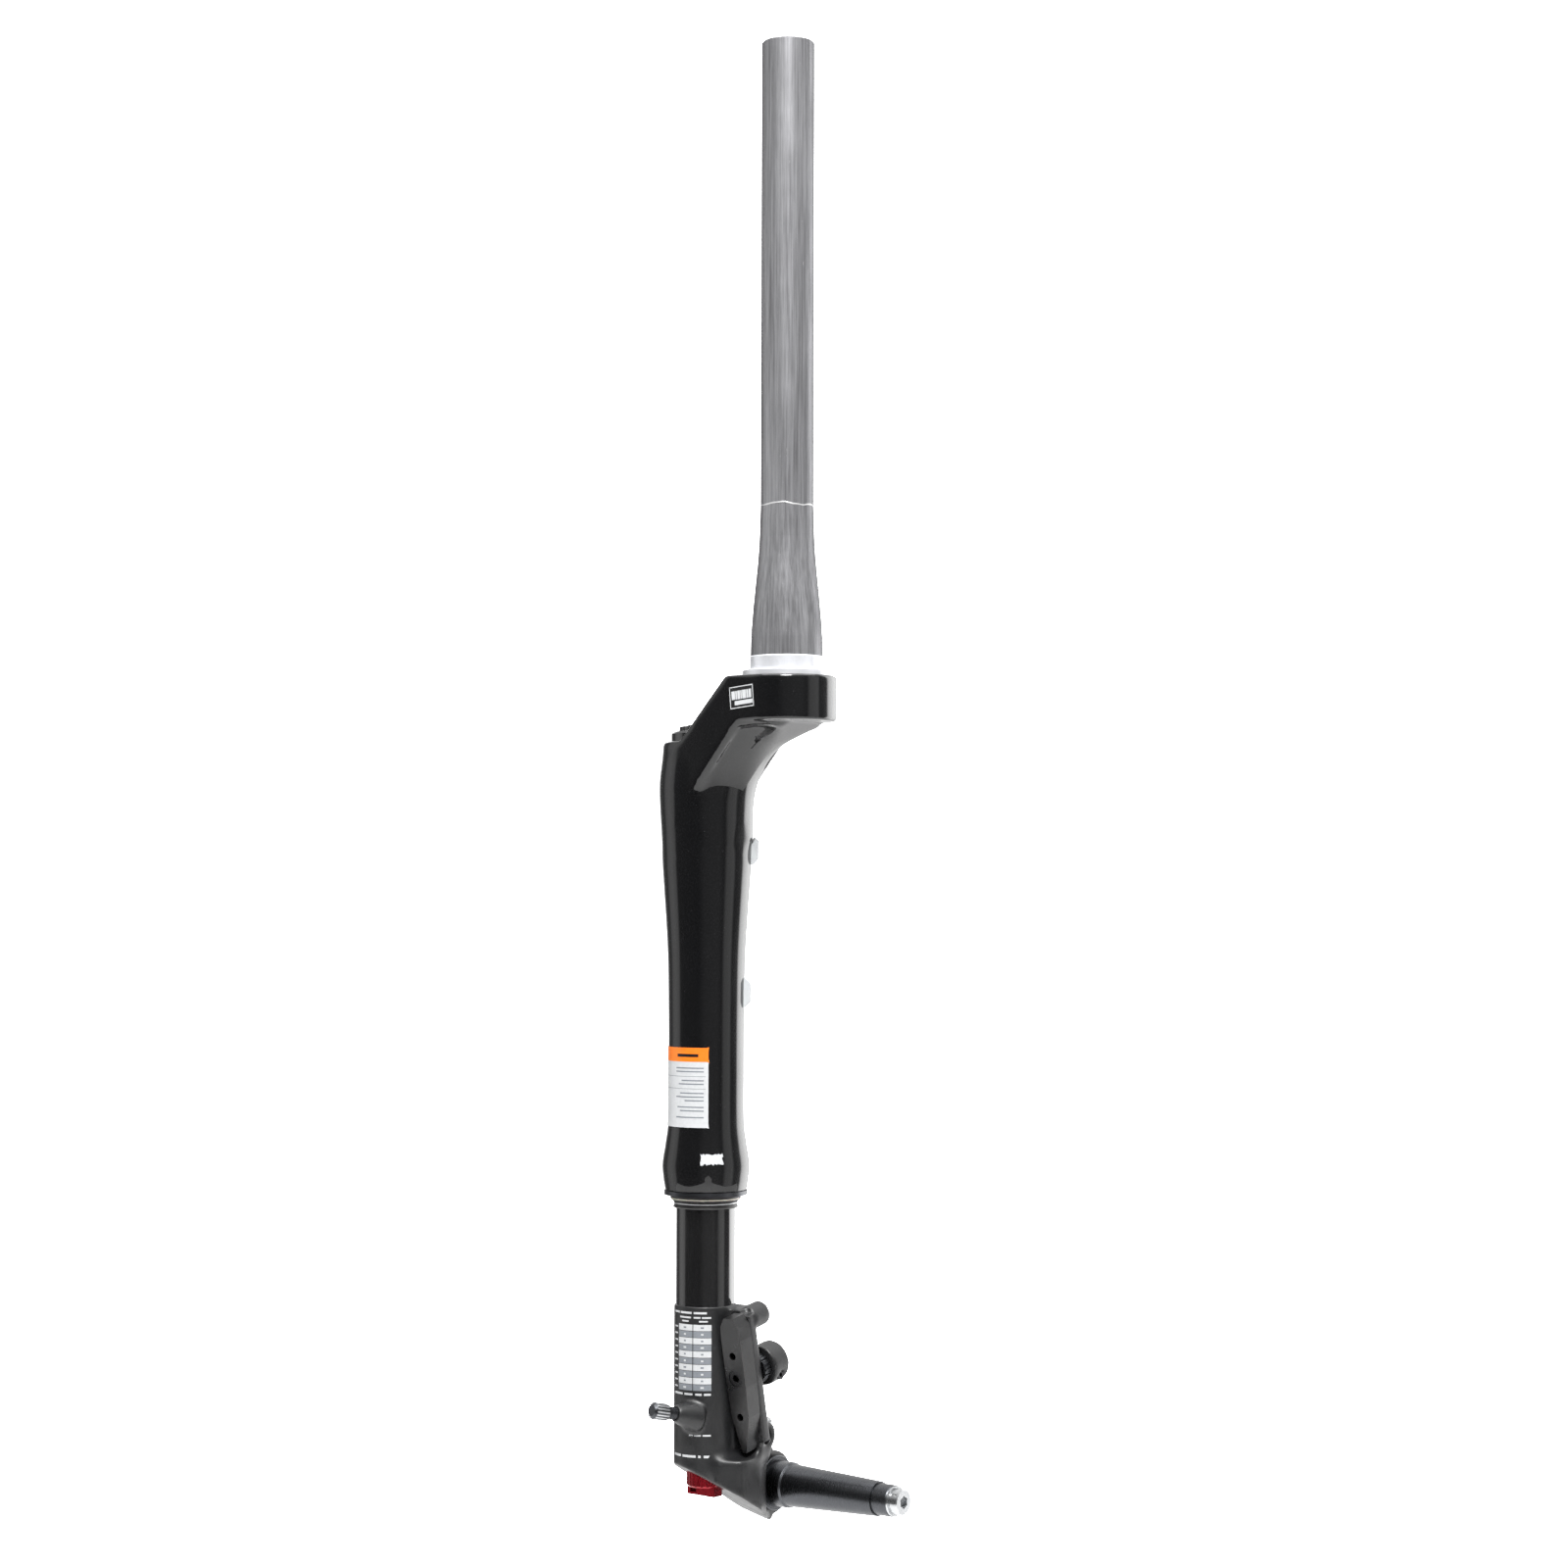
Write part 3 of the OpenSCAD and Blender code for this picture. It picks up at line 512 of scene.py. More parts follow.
def modify(piece, kind, **values):
    """Add a modifier and apply it."""
    only(piece)
    modifier = piece.modifiers.new(kind.lower(), kind)
    for key, value in values.items():
        setattr(modifier, key, value)
    bpy.ops.object.modifier_apply(modifier=modifier.name)


def cut(piece, tool):
    """Take one solid away from another."""
    modify(piece, "BOOLEAN", operation="DIFFERENCE", solver="MANIFOLD", object=tool)
    bpy.data.objects.remove(tool)


def start_from(node, name):
    """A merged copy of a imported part, ready for modelling."""
    piece = bpy.data.objects.new(name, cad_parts[node].data.copy())
    bpy.context.scene.collection.objects.link(piece)
    piece.data.name = name
    only(piece)
    bpy.ops.mesh.customdata_custom_splitnormals_clear()
    edit()
    bpy.ops.mesh.select_all(action="SELECT")
    bpy.ops.mesh.remove_doubles(threshold=0.001 * MM)
    done()
    return piece


def off_axis(point, centre):
    """Distance from an upright axis."""
    return math.hypot(point.x - centre.x, point.y - centre.y)


def lathe(name, stations, centre, segments=96):
    """A solid turned about an upright axis, from (radius, height) stations."""
    bpy.ops.object.select_all(action="DESELECT")
    radius, height = stations[0]
    bpy.ops.mesh.primitive_circle_add(vertices=segments, radius=radius, fill_type="NGON",
                                      location=(centre.x, centre.y, height))
    piece = added(name)
    edit()
    bpy.ops.mesh.select_mode(type="EDGE")
    bpy.ops.mesh.select_all(action="SELECT")
    for new_radius, new_height in stations[1:]:
        bpy.ops.mesh.extrude_edges_move(TRANSFORM_OT_translate={"value": (0, 0, new_height - height)})
        ratio = new_radius / radius
        bpy.ops.transform.resize(value=(ratio, ratio, 1), center_override=(centre.x, centre.y, new_height))
        radius, height = new_radius, new_height
    bpy.ops.mesh.edge_face_add()
    bpy.ops.mesh.select_all(action="SELECT")
    bpy.ops.mesh.normals_make_consistent(inside=False)
    done()
    return piece


def close_holes(test):
    """In edit mode, delete the faces that pass a test and close what they leave open."""
    pick("FACE", test)
    bpy.ops.mesh.delete(type="FACE")
    bpy.ops.mesh.select_all(action="SELECT")
    bpy.ops.mesh.fill_holes(sides=0)
    bpy.ops.mesh.select_all(action="SELECT")
    bpy.ops.mesh.quads_convert_to_tris()
    bpy.ops.mesh.normals_make_consistent(inside=False)


def soften(piece, pitch, fillet, passes):
    """Round a solid as moulding does: fill its inside corners, then ease every edge."""
    modify(piece, "REMESH", mode="VOXEL", voxel_size=pitch)
    modify(piece, "SMOOTH", factor=0.5, iterations=4)
    modify(piece, "DISPLACE", strength=fillet, mid_level=0)
    modify(piece, "REMESH", mode="VOXEL", voxel_size=pitch)
    modify(piece, "SMOOTH", factor=0.5, iterations=4)
    modify(piece, "DISPLACE", strength=-fillet, mid_level=0)
    modify(piece, "SMOOTH", factor=0.5, iterations=passes)


def ease(piece, weight, iterations):
    """Smooth a solid where a weight from 0 to 1, worked out from a vertex's place, asks for it."""
    group = piece.vertex_groups.new(name="ease")
    for vertex in piece.data.vertices:
        amount = weight(vertex.co)
        if amount > 0:
            group.add([vertex.index], amount, "REPLACE")
    modify(piece, "SMOOTH", factor=0.5, iterations=iterations, vertex_group="ease")
    piece.vertex_groups.remove(piece.vertex_groups["ease"])


def wear(piece, body, replaced, material):
    """Fit a finished piece: its finish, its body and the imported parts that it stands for."""
    piece.data.materials.clear()
    piece.data.materials.append(material)
    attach(piece, body)
    if replaced:
        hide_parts(*replaced)


def finish_named(name):
    return bpy.data.materials[name]


# ---------- crown and outer leg ----------


class CrownSettings(bpy.types.PropertyGroup):
    """One-piece crown and outer leg."""

    pitch: length("Mesh pitch", "Size of the mesh of the moulding", 0.82 * MM)
    socket_floor: length("Socket floor", "Height of the bottom of the steerer's socket", -24 * MM)
    fillet: length("Fillet", "Radius of the inside corners", 1.6 * MM)
    bore: length("Bore", "Radius of the leg's bore", 18.4 * MM)
    cap_seat: length("Cap seat", "Radius of the bore under the top cap", 19.4 * MM)
    seal_seat: length("Seal seat", "Radius of the bore round the seal collar", 19.6 * MM)
    socket: length("Steerer socket", "Radius of the socket in the crown", 17.4 * MM)
    rim_drop: length("Rim drop", "Leg's rim below the crown race shoulder", 37 * MM)
    bend_x: length("Bend centre across", "Centre of the bend over the wheel", -10 * MM)
    bend_z: length("Bend centre height", "Centre of the bend over the wheel", -76 * MM)
    bend_tube: length("Bend tube", "Radius of the tube that follows the bend", 25.5 * MM)
    web_passes: IntProperty(name="Web passes", description="Smoothing of the web under the arm", default=60)


# (height, radius) down the outside of the leg, in millimetres
LEG_STATIONS = ((-62, 26.4), (-100, 24.7), (-150, 21.5), (-185, 20.8), (-215, 20.7),
                (-245, 20.9), (-256, 22.3), (-267, 23.9), (-275, 23.3), (-281, 22.3))


def leg_radius(z):
    """Radius of the leg's outside at a height, on a smooth curve through the stations."""
    height = z / MM
    points = LEG_STATIONS
    span = min(len(points) - 2, max(0, sum(height < p[0] for p in points) - 1))
    before, low, high, after = (points[min(len(points) - 1, max(0, span + k))] for k in (-1, 0, 1, 2))
    t = (height - low[0]) / (high[0] - low[0])
    gap = high[0] - low[0]
    slope_low = (high[1] - before[1]) / (high[0] - before[0]) * gap
    slope_high = (after[1] - low[1]) / (after[0] - low[0]) * gap
    value = ((2 * t ** 3 - 3 * t ** 2 + 1) * low[1] + (t ** 3 - 2 * t ** 2 + t) * slope_low
             + (3 * t ** 2 - 2 * t ** 3) * high[1] + (t ** 3 - t ** 2) * slope_high)
    return value * MM


class FORK_OT_crown(bpy.types.Operator):
    """Mould the painted crown and outer leg"""

    bl_idname = "fork.crown"
    bl_label = "Crown and outer leg"

    @staticmethod
    def under_arm(point):
        """1 under the arm and on the leg below it, 0 on the arm itself."""
        slope_x, slope_z, boss_foot = 18 * MM, -32 * MM, -28.6 * MM
        under_slope = -0.768 * (point.x - slope_x) - 0.64 * (point.z - slope_z)
        under_boss = boss_foot - point.z
        return smoothstep((min(under_slope, under_boss) - MM) / (4 * MM))

    @classmethod
    def round_over(cls, piece, s):
        """Pull the web into the round bend that carries the leg over to the crown."""
        bend_centre, bend_radius = Vector((s.bend_x, s.bend_z)), LEG.x - s.bend_x
        for vertex in piece.data.vertices:
            point = vertex.co
            weight = cls.under_arm(point)
            away = Vector((point.x, point.z)) - bend_centre
            if away.y < 0:
                away.y = 0
            if weight == 0 or away.length == 0:
                continue
            inward = bend_radius - away.length
            now = math.hypot(point.y, inward)
            if inward > 0 and now > s.bend_tube:
                ratio = 1 + (s.bend_tube / now - 1) * weight
                shift = away.normalized() * (inward - inward * ratio)
                vertex.co = (point.x + shift.x, point.y * ratio, point.z + shift.y)

    def execute(self, context):
        s = context.scene.fork_crown
        steerer = Vector((0, 0, 0))
        piece = start_from("crown_and_outer_leg", "painted_crown_and_leg")
        leg_hole, socket_hole, boss_foot = s.seal_seat + 0.06 * MM, s.socket + 0.05 * MM, -28.7 * MM
        edit()
        close_holes(lambda f: all(off_axis(v.co, LEG) < leg_hole for v in f.verts)
                    or all(off_axis(v.co, steerer) < socket_hole and v.co.z > boss_foot for v in f.verts))
        done()
        soften(piece, s.pitch, s.fillet, 6)
        self.round_over(piece, s)
        modify(piece, "REMESH", mode="VOXEL", voxel_size=s.pitch)
        modify(piece, "SMOOTH", factor=0.5, iterations=6)
        ease(piece, self.under_arm, s.web_passes)
        turned_from, moulded_to = -112 * MM, -98 * MM
        for vertex in piece.data.vertices:
            if vertex.co.z < moulded_to and off_axis(vertex.co, LEG) > s.seal_seat:
                share_turned = smoothstep((moulded_to - vertex.co.z) / (moulded_to - turned_from))
                now = off_axis(vertex.co, LEG)
                wanted = now + (leg_radius(vertex.co.z) - now) * share_turned
                vertex.co.x = LEG.x + (vertex.co.x - LEG.x) * wanted / now
                vertex.co.y = LEG.y + (vertex.co.y - LEG.y) * wanted / now
        # both seats are 9 mm deep, and the tool stands out of the leg by 1 mm at each end
        seat, step, out = 9 * MM, 0.01 * MM, MM
        rim = -s.rim_drop
        cut(piece, lathe("leg bore", [
            (s.seal_seat, LEG_FOOT - out), (s.seal_seat, LEG_FOOT + seat), (s.bore, LEG_FOOT + seat + step),
            (s.bore, rim - seat), (s.cap_seat, rim - seat + step), (s.cap_seat, rim + out)], LEG))
        cut(piece, lathe("steerer socket", [(s.socket, s.socket_floor), (s.socket, 0)], steerer))
        only(piece)
        bpy.ops.object.shade_smooth_by_angle(angle=math.radians(40))
        wear(piece, "chassis", ["crown_and_outer_leg"],
             finish_named("gloss black paint"))
        return {"FINISHED"}


# ---------- lower casting ----------


class CastingSettings(bpy.types.PropertyGroup):
    """Lower casting."""

    pitch: length("Mesh pitch", "Size of the mesh of the casting", 0.62 * MM)
    fillet: length("Fillet", "Radius of the inside corners", 1.3 * MM)
    bore: length("Bore", "Radius of the leg's seat", 16.15 * MM)
    bore_floor: length("Bore floor", "Height of the bottom of the leg's seat", -392 * MM)
    foot_passes: IntProperty(name="Foot passes", description="Smoothing of the foot and its arm", default=260)


class FORK_OT_casting(bpy.types.Operator):
    """Cast the lower leg with its axle boss, brake mount and valve boss"""

    bl_idname = "fork.casting"
    bl_label = "Lower casting"

    @staticmethod
    def foot(point):
        """1 on the arm to the axle, 0 near the axle's boss, the slanted underside and above the foot."""
        foot_top, arm_start, boss_radius, fade = -418 * MM, -28 * MM, 18.5 * MM, 4 * MM
        underside = -438.6 * MM + 0.243 * (point.x - LEG.x) + 0.554 * point.y
        off_axle = math.hypot(point.y - AXLE.y, point.z - AXLE.z)
        off_underside = max(point.z - underside - 1.5 * MM, arm_start - point.y)
        return min(smoothstep((foot_top - point.z) / (2 * fade)),
                   smoothstep(off_underside / fade),
                   smoothstep((off_axle - boss_radius) / fade))

    def execute(self, context):
        s = context.scene.fork_casting
        piece = start_from("lower_leg_casting", "cast_lower_leg")
        edit()
        close_holes(lambda f: all(off_axis(v.co, LEG) < s.bore + 0.05 * MM for v in f.verts))
        done()
        soften(piece, s.pitch, s.fillet, 3)
        ease(piece, self.foot, s.foot_passes)
        cut(piece, lathe("leg seat", [(s.bore, s.bore_floor), (s.bore, CASTING_TOP + MM)], LEG))
        only(piece)
        bpy.ops.object.shade_smooth_by_angle(angle=math.radians(40))
        wear(piece, "lower_leg", ["lower_leg_casting"],
             finish_named("satin black alloy"))
        return {"FINISHED"}


# ---------- labels and printed marks ----------


class PrintSettings(bpy.types.PropertyGroup):
    """Labels and printed marks, all without lettering."""

    thickness: length("Thickness", "Thickness of the vinyl", 0.1 * MM)
    ink: length("Ink", "Height of a printed bar over its ground", 0.03 * MM)
    leg_edge: angle("Label edge", "Compass angle of the leg label's near edge", 133)
    scrap_edge: angle("Scrap edge", "Compass angle of the near edge of the scrap of paper", 152)
    chart_edge: angle("Chart edge", "Compass angle of the chart's near edge", 143)


def sheet(spot, size, layer, finish, corner=0.0):
    """A flat piece of print in the X-Z plane, centred on a spot; layer is its height towards +Y."""
    bpy.ops.object.select_all(action="DESELECT")
    width, height = size
    bpy.ops.mesh.primitive_grid_add(x_subdivisions=max(2, round(width / MM)),
                                    y_subdivisions=max(2, round(height / (2 * MM))), size=1,
                                    rotation=(math.pi / 2, 0, 0))
    piece = bpy.context.object
    piece.scale = (width, height, 1)
    piece.location = (spot[0], layer, spot[1])
    bpy.ops.object.transform_apply(location=True, rotation=True, scale=True)
    piece.data.materials.append(finish_named(finish))
    for vertex in piece.data.vertices:
        over = Vector((abs(vertex.co.x - spot[0]) - width / 2 + corner,
                       abs(vertex.co.z - spot[1]) - height / 2 + corner))
        if min(over) > 0 and over.length > corner > 0:
            pulled = over * (corner / over.length)
            vertex.co.x += math.copysign(pulled.x - over.x, vertex.co.x - spot[0])
            vertex.co.z += math.copysign(pulled.y - over.y, vertex.co.z - spot[1])
    return piece


def lay(pieces, name, body, thickness, place):
    """Join the sheets of one label, lay them with place(x, layer, z) and give them thickness."""
    for piece in pieces:
        piece.select_set(True)
    bpy.context.view_layer.objects.active = pieces[0]
    bpy.ops.object.join()
    label = bpy.context.object
    label.name = label.data.name = name
    for vertex in label.data.vertices:
        vertex.co = place(*vertex.co)
    modify(label, "SOLIDIFY", thickness=thickness, offset=0)
    edit()
    bpy.ops.mesh.select_all(action="SELECT")
    bpy.ops.mesh.normals_make_consistent(inside=False)
    done()
    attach(label, body)
    return label


def wrapped(edge, radius):
    """Places a sheet round the leg from an edge's compass angle; radius is a function of the height."""
    def place(x, layer, z):
        reach = radius(z) + layer
        turn = edge - x / radius(z)
        return Vector((LEG.x + reach * math.cos(turn), LEG.y + reach * math.sin(turn), z))
    return place


class FORK_OT_prints(bpy.types.Operator):
    """Lay the leg's label, the scrap of paper, the crown's sticker and the casting's chart and marks"""

    bl_idname = "fork.prints"
    bl_label = "Labels and marks"

    def execute(self, context):
        s = context.scene.fork_print
        self.leg_label(s)
        self.scrap(s)
        self.sticker(s)
        self.chart(s)
        return {"FINISHED"}

    def leg_label(self, s):
        """White label with an orange head band, a dark bar in it, and grey rows and rules below."""
        lift, ink = s.thickness / 2, s.thickness / 2 + s.ink
        top, bottom, head, width = -203.5 * MM, -246 * MM, 6.6 * MM, 38 * MM
        margin, row_height, rule_height, corner = 2.5 * MM, 0.7 * MM, 0.25 * MM, 1.2 * MM
        ground = (width / 2, (top - head + bottom) / 2)
        band = (width / 2, top - head / 2)
        bar = (12 * MM, top - head / 2 - 0.4 * MM)
        pieces = [sheet(ground, (width, top - head - bottom), lift, "white print", corner),
                  sheet(band, (width, head + MM), ink, "orange print", corner),
                  sheet(bar, (13 * MM, 1.6 * MM), ink + 2 * s.ink, "dark print")]
        # drop below the top edge and width of each row
        rows = ((10.5, 17), (12.4, 17), (17.2, 13), (19.1, 15), (24, 14),
                (26, 17), (28, 11), (31.5, 16), (33.5, 14), (37, 17))
        for drop, reach in rows:
            middle_spot = (margin + reach / 2 * MM, top - drop * MM)
            pieces.append(sheet(middle_spot, (reach * MM, row_height), ink, "grey print"))
        for drop in (15, 21.6):
            rule = (width - 3 * MM, rule_height)
            pieces.append(sheet((width / 2, top - drop * MM), rule, ink, "grey print"))
        lay(pieces, "leg_label", "chassis", s.thickness,
            wrapped(s.leg_edge, lambda z: leg_radius(z) + 0.05 * MM))

    def scrap(self, s):
        """Torn scrap of paper above the foot of the leg."""
        spot, size = (6 * MM, -262.8 * MM), (12 * MM, 5.4 * MM)
        piece = sheet(spot, size, s.thickness / 2, "white print", 0.8 * MM)
        edit()
        bpy.ops.mesh.select_all(action="SELECT")
        bpy.ops.mesh.subdivide(number_cuts=1)
        bpy.ops.transform.vertex_random(offset=0.45 * MM, uniform=1, seed=7)
        done()
        for vertex in piece.data.vertices:
            vertex.co.y = s.thickness / 2
        lay([piece], "paper_scrap", "chassis", s.thickness,
            wrapped(s.scrap_edge, lambda z: leg_radius(z) + 0.08 * MM))

    def sticker(self, s):
        """Black sticker with a white line round it and a block of white bars, on the crown's rear face."""
        lift, ink = s.thickness / 2, s.thickness / 2 + s.ink
        pieces = [sheet((0, 0), (17.5 * MM, 12.4 * MM), lift, "dark print", MM)]
        border = (((0, 5.6), (16.4, 0.45)), ((0, -5.6), (16.4, 0.45)),
                  ((8, 0), (0.45, 11.2)), ((-8, 0), (0.45, 11.2)))
        low_bar = ((1.2, -3), (12.4, 2.2))
        for spot, size in (*border, low_bar):
            pieces.append(sheet(Vector(spot) * MM, Vector(size) * MM, ink, "white print"))
        left, bar_height, gap = -6.9, 4.6, 0.32
        for width in (2.4, 1.1, 1.8, 0.9, 2.6, 1.3, 1.7):
            spot, size = Vector((left + width / 2, 1.2)) * MM, Vector((width, bar_height)) * MM
            pieces.append(sheet(spot, size, ink, "white print"))
            left += width + gap
        # the crown's rear face touches a 27 mm round on the steering axis and leans in by 2 mm at the leg
        crown_radius, lean, turn = 27 * MM, math.asin(2 / 55), math.radians(5)
        along = Vector((-math.cos(lean), math.sin(lean), 0))
        out = Vector((math.sin(lean), math.cos(lean), 0))
        middle_spot = Vector((9.4, 0, -15.1)) * MM
        middle_spot.y = (crown_radius - out.x * middle_spot.x) / out.y

        def place(x, layer, z):
            across = x * math.cos(turn) - z * math.sin(turn)
            up = x * math.sin(turn) + z * math.cos(turn)
            return middle_spot + along * across + Vector((0, 0, up)) + out * (layer + 0.1 * MM)

        lay(pieces, "crown_sticker", "chassis", s.thickness, place)

    def chart(self, s):
        """Rows of two pale columns with a narrow column of ticks, and the plain dashes round it."""
        ink = s.thickness / 2
        pieces = []

        def bar(span, height, tall, layer, finish):
            low, high = span
            pieces.append(sheet(((low + high) / 2 * MM, height * MM), ((high - low) * MM, tall * MM),
                                layer, finish))

        first, row_pitch, rows = -353.7, 3.56, 10
        right, left, narrow = (0.6, 10.6), (11.1, 20.5), (21.6, 24.6)
        for row in range(rows):
            height = first - row_pitch * row
            ground, mark = ("white print", "grey print") if row % 2 == 0 else ("grey print", "white print")
            half_dash = (1.3 if row % 3 else 1.8) / 2
            for low, high in (right, left):
                bar((low, high), height, 3.3, ink, ground)
                centre = (low + high) / 2
                bar((centre - half_dash, centre + half_dash), height, 0.9, ink + s.ink, mark)
            bar(narrow, height, 0.8, ink, "white print")
        # height, thickness and spans of each line of dashes
        dashes = (
            (-345.8, 1.1, ((3.2, 10.4), (11.6, 19), (20, 24.5))),
            (-348.3, 0.9, ((0.8, 5.8), (6.6, 10.4), (12, 19.5))),
            (-350.3, 0.8, ((2.6, 7.4), (13.4, 17.8))),
            (-389.4, 1.1, ((0.8, 4.6), (5.8, 9.4), (11, 16), (17.4, 24.5))),
            (-411.3, 0.9, ((0.8, 5.2), (6.2, 9.8), (10.6, 13))),
            (-422.6, 1.3, ((0.6, 4.6), (6.2, 7.6), (9, 17.2), (18.4, 25))),
        )
        for height, tall, spans in dashes:
            for span in spans:
                bar(span, height, tall, ink, "white print")
        lay(pieces, "setting_chart", "lower_leg", s.thickness,
            wrapped(s.chart_edge, lambda z: CASTING_RADIUS + 0.05 * MM))


# ---------- small details ----------


class DetailSettings(bpy.types.PropertyGroup):
    """Knurls and threads."""

    cap_ribs: IntProperty(name="Cap ribs", description="Ribs round the valve cap", default=16)
    nut_ribs: IntProperty(name="Nut ribs", description="Ribs round the knurled lock nut", default=30)


def ribs(name, count, size, radius, low, high, matrix):
    """Straight ribs round an axis: radius and heights are in the frame that the matrix places."""
    bpy.ops.object.select_all(action="DESELECT")
    bpy.ops.mesh.primitive_cube_add(size=1, location=(radius, 0, (low + high) / 2))
    piece = bpy.context.object
    piece.scale = (size, size, high - low)
    piece = added(name)
    modify(piece, "BEVEL", width=size * 0.3, segments=2)
    edit()
    bpy.ops.mesh.select_all(action="SELECT")
    bpy.ops.mesh.spin(steps=count, angle=2 * math.pi, dupli=True, center=(0, 0, 0), axis=(0, 0, 1))
    bpy.ops.mesh.select_all(action="SELECT")
    bpy.ops.mesh.remove_doubles(threshold=0.001 * MM)
    bpy.ops.mesh.normals_make_consistent(inside=False)
    done()
    piece.data.transform(matrix)
    bpy.ops.object.shade_smooth_by_angle(angle=math.radians(40))
    return piece


def frame_at(spot, direction):
    """Matrix whose Z runs along a direction from a spot."""
    return Matrix.Translation(spot) @ direction.to_track_quat("Z", "Y").to_matrix().to_4x4()


class FORK_OT_details(bpy.types.Operator):
    """Add the ribs of the valve cap and of the lock nut, and the valve stem's thread"""

    bl_idname = "fork.details"
    bl_label = "Knurls and threads"

    def execute(self, context):
        s = context.scene.fork_detail
        turn, rise = math.radians(78), math.radians(12)
        outwards = Vector((math.cos(rise) * math.cos(turn), math.cos(rise) * math.sin(turn), math.sin(rise)))
        valve = frame_at(Vector((50.5, 13.5, -401.5)) * MM, outwards)
        piece = ribs("valve_cap_ribs", s.cap_ribs, 0.9 * MM, 4.2 * MM, 21 * MM, 29.4 * MM, valve)
        wear(piece, "cap", [], finish_named("steel"))
        root, thread_depth, start, half_pitch = 2.9 * MM, 0.35 * MM, 14.6 * MM, 0.26 * MM
        stations = [(root + thread_depth * (step % 2), start + half_pitch * step) for step in range(19)]
        piece = lathe("valve_thread", stations, Vector((0, 0, 0)), 48)
        piece.data.transform(valve)
        wear(piece, "lower_leg", [], finish_named("grey alloy"))
        # the nut's half length along its leaning axis, from its box
        nut_radius, edge = 7.9 * MM, 0.7 * MM
        low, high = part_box("knurled_lock_nut")
        out = Vector((0, 0.980, -0.199)).normalized()
        half = ((high - low).y - 2 * nut_radius * abs(out.z)) / 2 / out.y
        nut = frame_at((low + high) / 2, out)
        piece = ribs("lock_nut_ribs", s.nut_ribs, 0.8 * MM, 7.75 * MM, edge - half, half - edge, nut)
        wear(piece, "lower_leg", [], finish_named("grey alloy"))
        return {"FINISHED"}


# ---------- stage ----------


# Light round the fork: degrees round from the side away from the viewer, and brightness there
PANELS = ((0, 1.2), (14, 1.8), (24, 1.8), (30, 0.15), (54, 0.13), (64, 0.6), (78, 0.95), (92, 0.9),
          (98, 0.12), (160, 0.06), (176, 0.2), (214, 0.25), (228, 0.12), (236, 0.8), (256, 0.95),
          (263, 0.15), (285, 0.2), (292, 4.5), (300, 4.8), (322, 3.0), (338, 1.4), (352, 0.9), (360, 0.9))


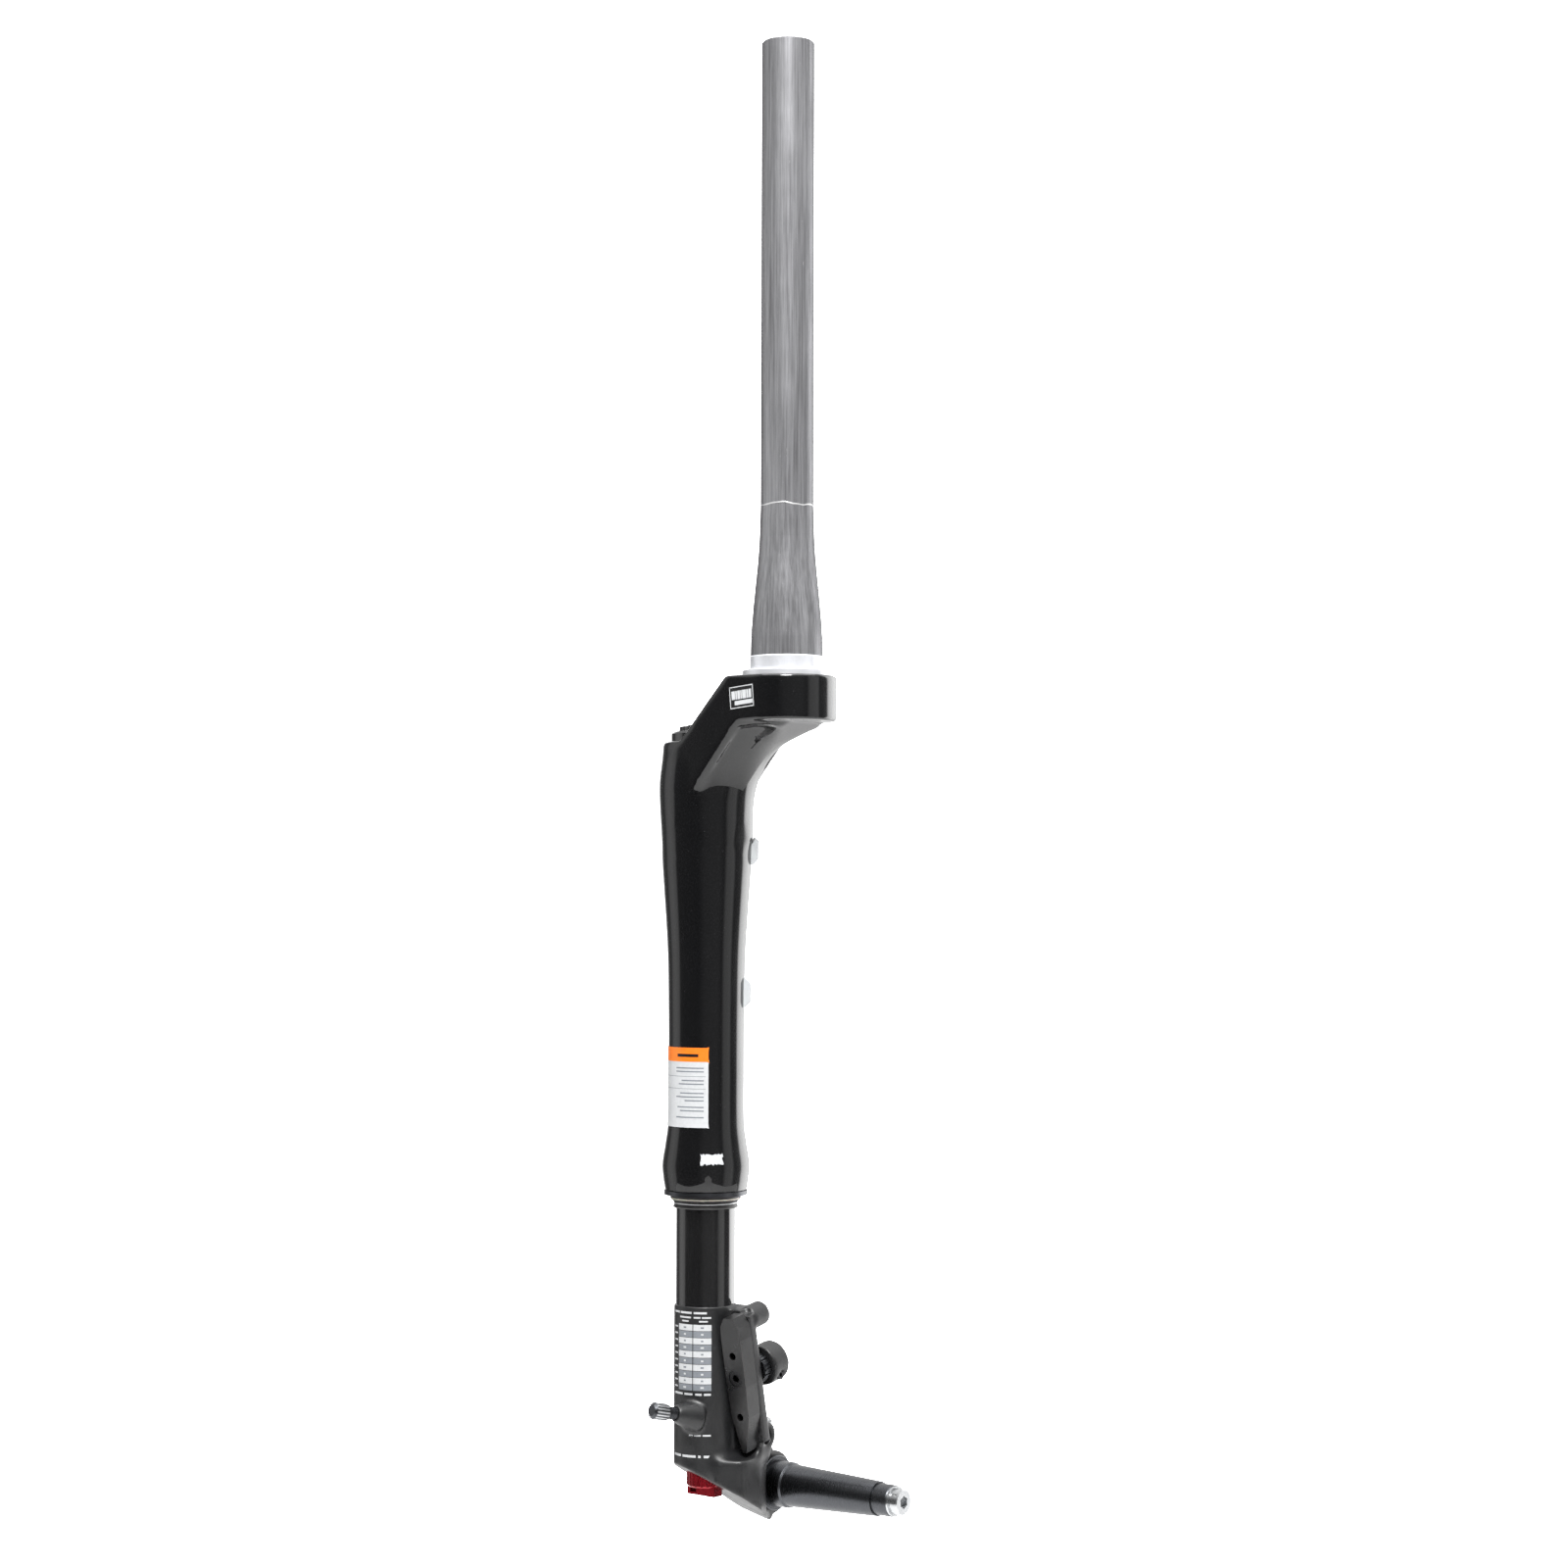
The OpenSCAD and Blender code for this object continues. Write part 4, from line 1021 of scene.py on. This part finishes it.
class FORK_OT_stage(bpy.types.Operator):
    """Set the camera, the pale floor and the soft light"""

    bl_idname = "fork.stage"
    bl_label = "Stage"

    def execute(self, context):
        s = context.scene.fork_stage
        viewer = Vector((math.sin(s.azimuth), -math.cos(s.azimuth), 0))
        right = Vector((-viewer.y, viewer.x, 0))
        forward = -viewer * math.cos(s.pitch) + Vector((0, 0, math.sin(s.pitch)))
        up = right.cross(forward)
        turned_right = right * math.cos(s.roll) + up * math.sin(s.roll)
        turned_up = up * math.cos(s.roll) - right * math.sin(s.roll)
        camera = bpy.data.objects.new("camera", bpy.data.cameras.new("camera"))
        context.scene.collection.objects.link(camera)
        matrix = Matrix((turned_right, turned_up, -forward)).transposed().to_4x4()
        matrix.translation = viewer * s.distance + right * s.sideways + Vector((0, 0, s.height))
        camera.matrix_world = matrix
        camera.data.lens = s.focal_length
        camera.data.sensor_width = 36
        camera.data.sensor_fit = "HORIZONTAL"
        context.scene.camera = camera
        self.floor(s, CAD_BOX[0].z - s.floor_drop)
        self.light(s, viewer)
        self.world(s.azimuth)
        context.scene.view_settings.view_transform = "Standard"
        context.scene.view_settings.look = "None"
        return {"FINISHED"}

    def floor(self, s, level):
        """Pale matt floor below the fork."""
        bpy.ops.object.select_all(action="DESELECT")
        bpy.ops.mesh.primitive_plane_add(size=s.floor_size, location=(0, 0, level))
        floor = bpy.context.object
        floor.name = "floor"
        bpy.ops.object.transform_apply(location=True)
        material, tree, shader = surface("floor white", (0.9, 0.9, 0.9), 0.7)
        cloud = noise(tree, place_of(tree), 0.7, 2.0)
        link(tree, mix_colours(tree, cloud, (0.88, 0.88, 0.88), (0.93, 0.93, 0.93)), shader, "Base Color")
        floor.data.materials.append(material)

    def light(self, s, viewer):
        """A wide lamp overhead and a smaller one above the viewer, both aimed at the crown."""
        for name, spot, size, watts in (
            ("overhead lamp", Vector((0, 0, 1.9)), s.overhead_size, s.overhead_power),
            ("front lamp", viewer * 1.1 + Vector((0, 0, 1.3)), s.viewer_size, s.viewer_power),
        ):
            lamp = bpy.data.lights.new(name, "AREA")
            lamp.size = size
            lamp.energy = watts
            lamp_object = bpy.data.objects.new(name, lamp)
            bpy.context.scene.collection.objects.link(lamp_object)
            lamp_object.location = spot
            lamp_object.rotation_euler = (-spot).to_track_quat("-Z", "Y").to_euler()

    def world(self, azimuth):
        """Light panels and dark gaps round the fork; the camera itself sees a white backdrop."""
        world = bpy.data.worlds.new("studio")
        bpy.context.scene.world = world
        world.use_nodes = True
        tree = world.node_tree
        tree.nodes.clear()
        coords = add_node(tree, "ShaderNodeTexCoord")
        turned = add_node(tree, "ShaderNodeMapping", [
            ("Vector", coords.outputs["Generated"]), ("Rotation", (0, 0, math.pi / 2 - azimuth))])
        compass = add_node(tree, "ShaderNodeTexGradient", [
            ("Vector", turned.outputs[0])], gradient_type="RADIAL")
        ramp = tree.nodes.new("ShaderNodeValToRGB")
        tree.links.new(compass.outputs["Fac"], ramp.inputs["Fac"])
        keys = ramp.color_ramp.elements
        strongest = max(brightness for _, brightness in PANELS)
        for index, (degrees, brightness) in enumerate(PANELS):
            key = keys[index] if index < 2 else keys.new(degrees / 360)
            key.position = degrees / 360
            level = brightness / strongest
            key.color = (level, level, level, 1)
        height = add_node(tree, "ShaderNodeSeparateXYZ", [(0, coords.outputs["Generated"])])
        high = remap(tree, height.outputs["Z"], 0.35, 0.8, 0, 1)
        shade = mix_colours(tree, high, ramp.outputs["Color"], (0.2, 0.2, 0.2))
        rays = add_node(tree, "ShaderNodeLightPath")
        seen = mix_colours(tree, rays.outputs["Is Camera Ray"], shade, (1, 1, 1))
        glow = add_node(tree, "ShaderNodeBackground", [("Color", seen), ("Strength", strongest)])
        out = tree.nodes.new("ShaderNodeOutputWorld")
        tree.links.new(glow.outputs[0], out.inputs["Surface"])


# ---------- panel and registration ----------


class FORK_PT_panel(bpy.types.Panel):
    """Every step of the fork's looks, in order"""

    bl_idname = "FORK_PT_panel"
    bl_label = "Suspension fork"
    bl_space_type = "VIEW_3D"
    bl_region_type = "UI"
    bl_category = "Fork"

    def draw(self, context):
        for step in STEPS:
            self.layout.operator(step.bl_idname)


STEPS = (FORK_OT_finish_parts, FORK_OT_crown, FORK_OT_casting, FORK_OT_prints, FORK_OT_details, FORK_OT_stage)
GROUPS = (FinishSettings, CrownSettings, CastingSettings, PrintSettings, DetailSettings, StageSettings)


def register():
    for item in (*GROUPS, *STEPS, FORK_PT_panel):
        bpy.utils.register_class(item)
    bpy.types.Scene.fork_finish = PointerProperty(type=FinishSettings)
    bpy.types.Scene.fork_crown = PointerProperty(type=CrownSettings)
    bpy.types.Scene.fork_casting = PointerProperty(type=CastingSettings)
    bpy.types.Scene.fork_print = PointerProperty(type=PrintSettings)
    bpy.types.Scene.fork_detail = PointerProperty(type=DetailSettings)
    bpy.types.Scene.fork_stage = PointerProperty(type=StageSettings)


def unregister():
    del bpy.types.Scene.fork_stage
    del bpy.types.Scene.fork_detail
    del bpy.types.Scene.fork_print
    del bpy.types.Scene.fork_casting
    del bpy.types.Scene.fork_crown
    del bpy.types.Scene.fork_finish
    for item in reversed((*GROUPS, *STEPS, FORK_PT_panel)):
        bpy.utils.unregister_class(item)


def main():
    register()
    bpy.ops.fork.finish_parts()
    bpy.ops.fork.crown()
    bpy.ops.fork.casting()
    bpy.ops.fork.prints()
    bpy.ops.fork.details()
    bpy.ops.fork.stage()


if __name__ == "__main__":
    main()
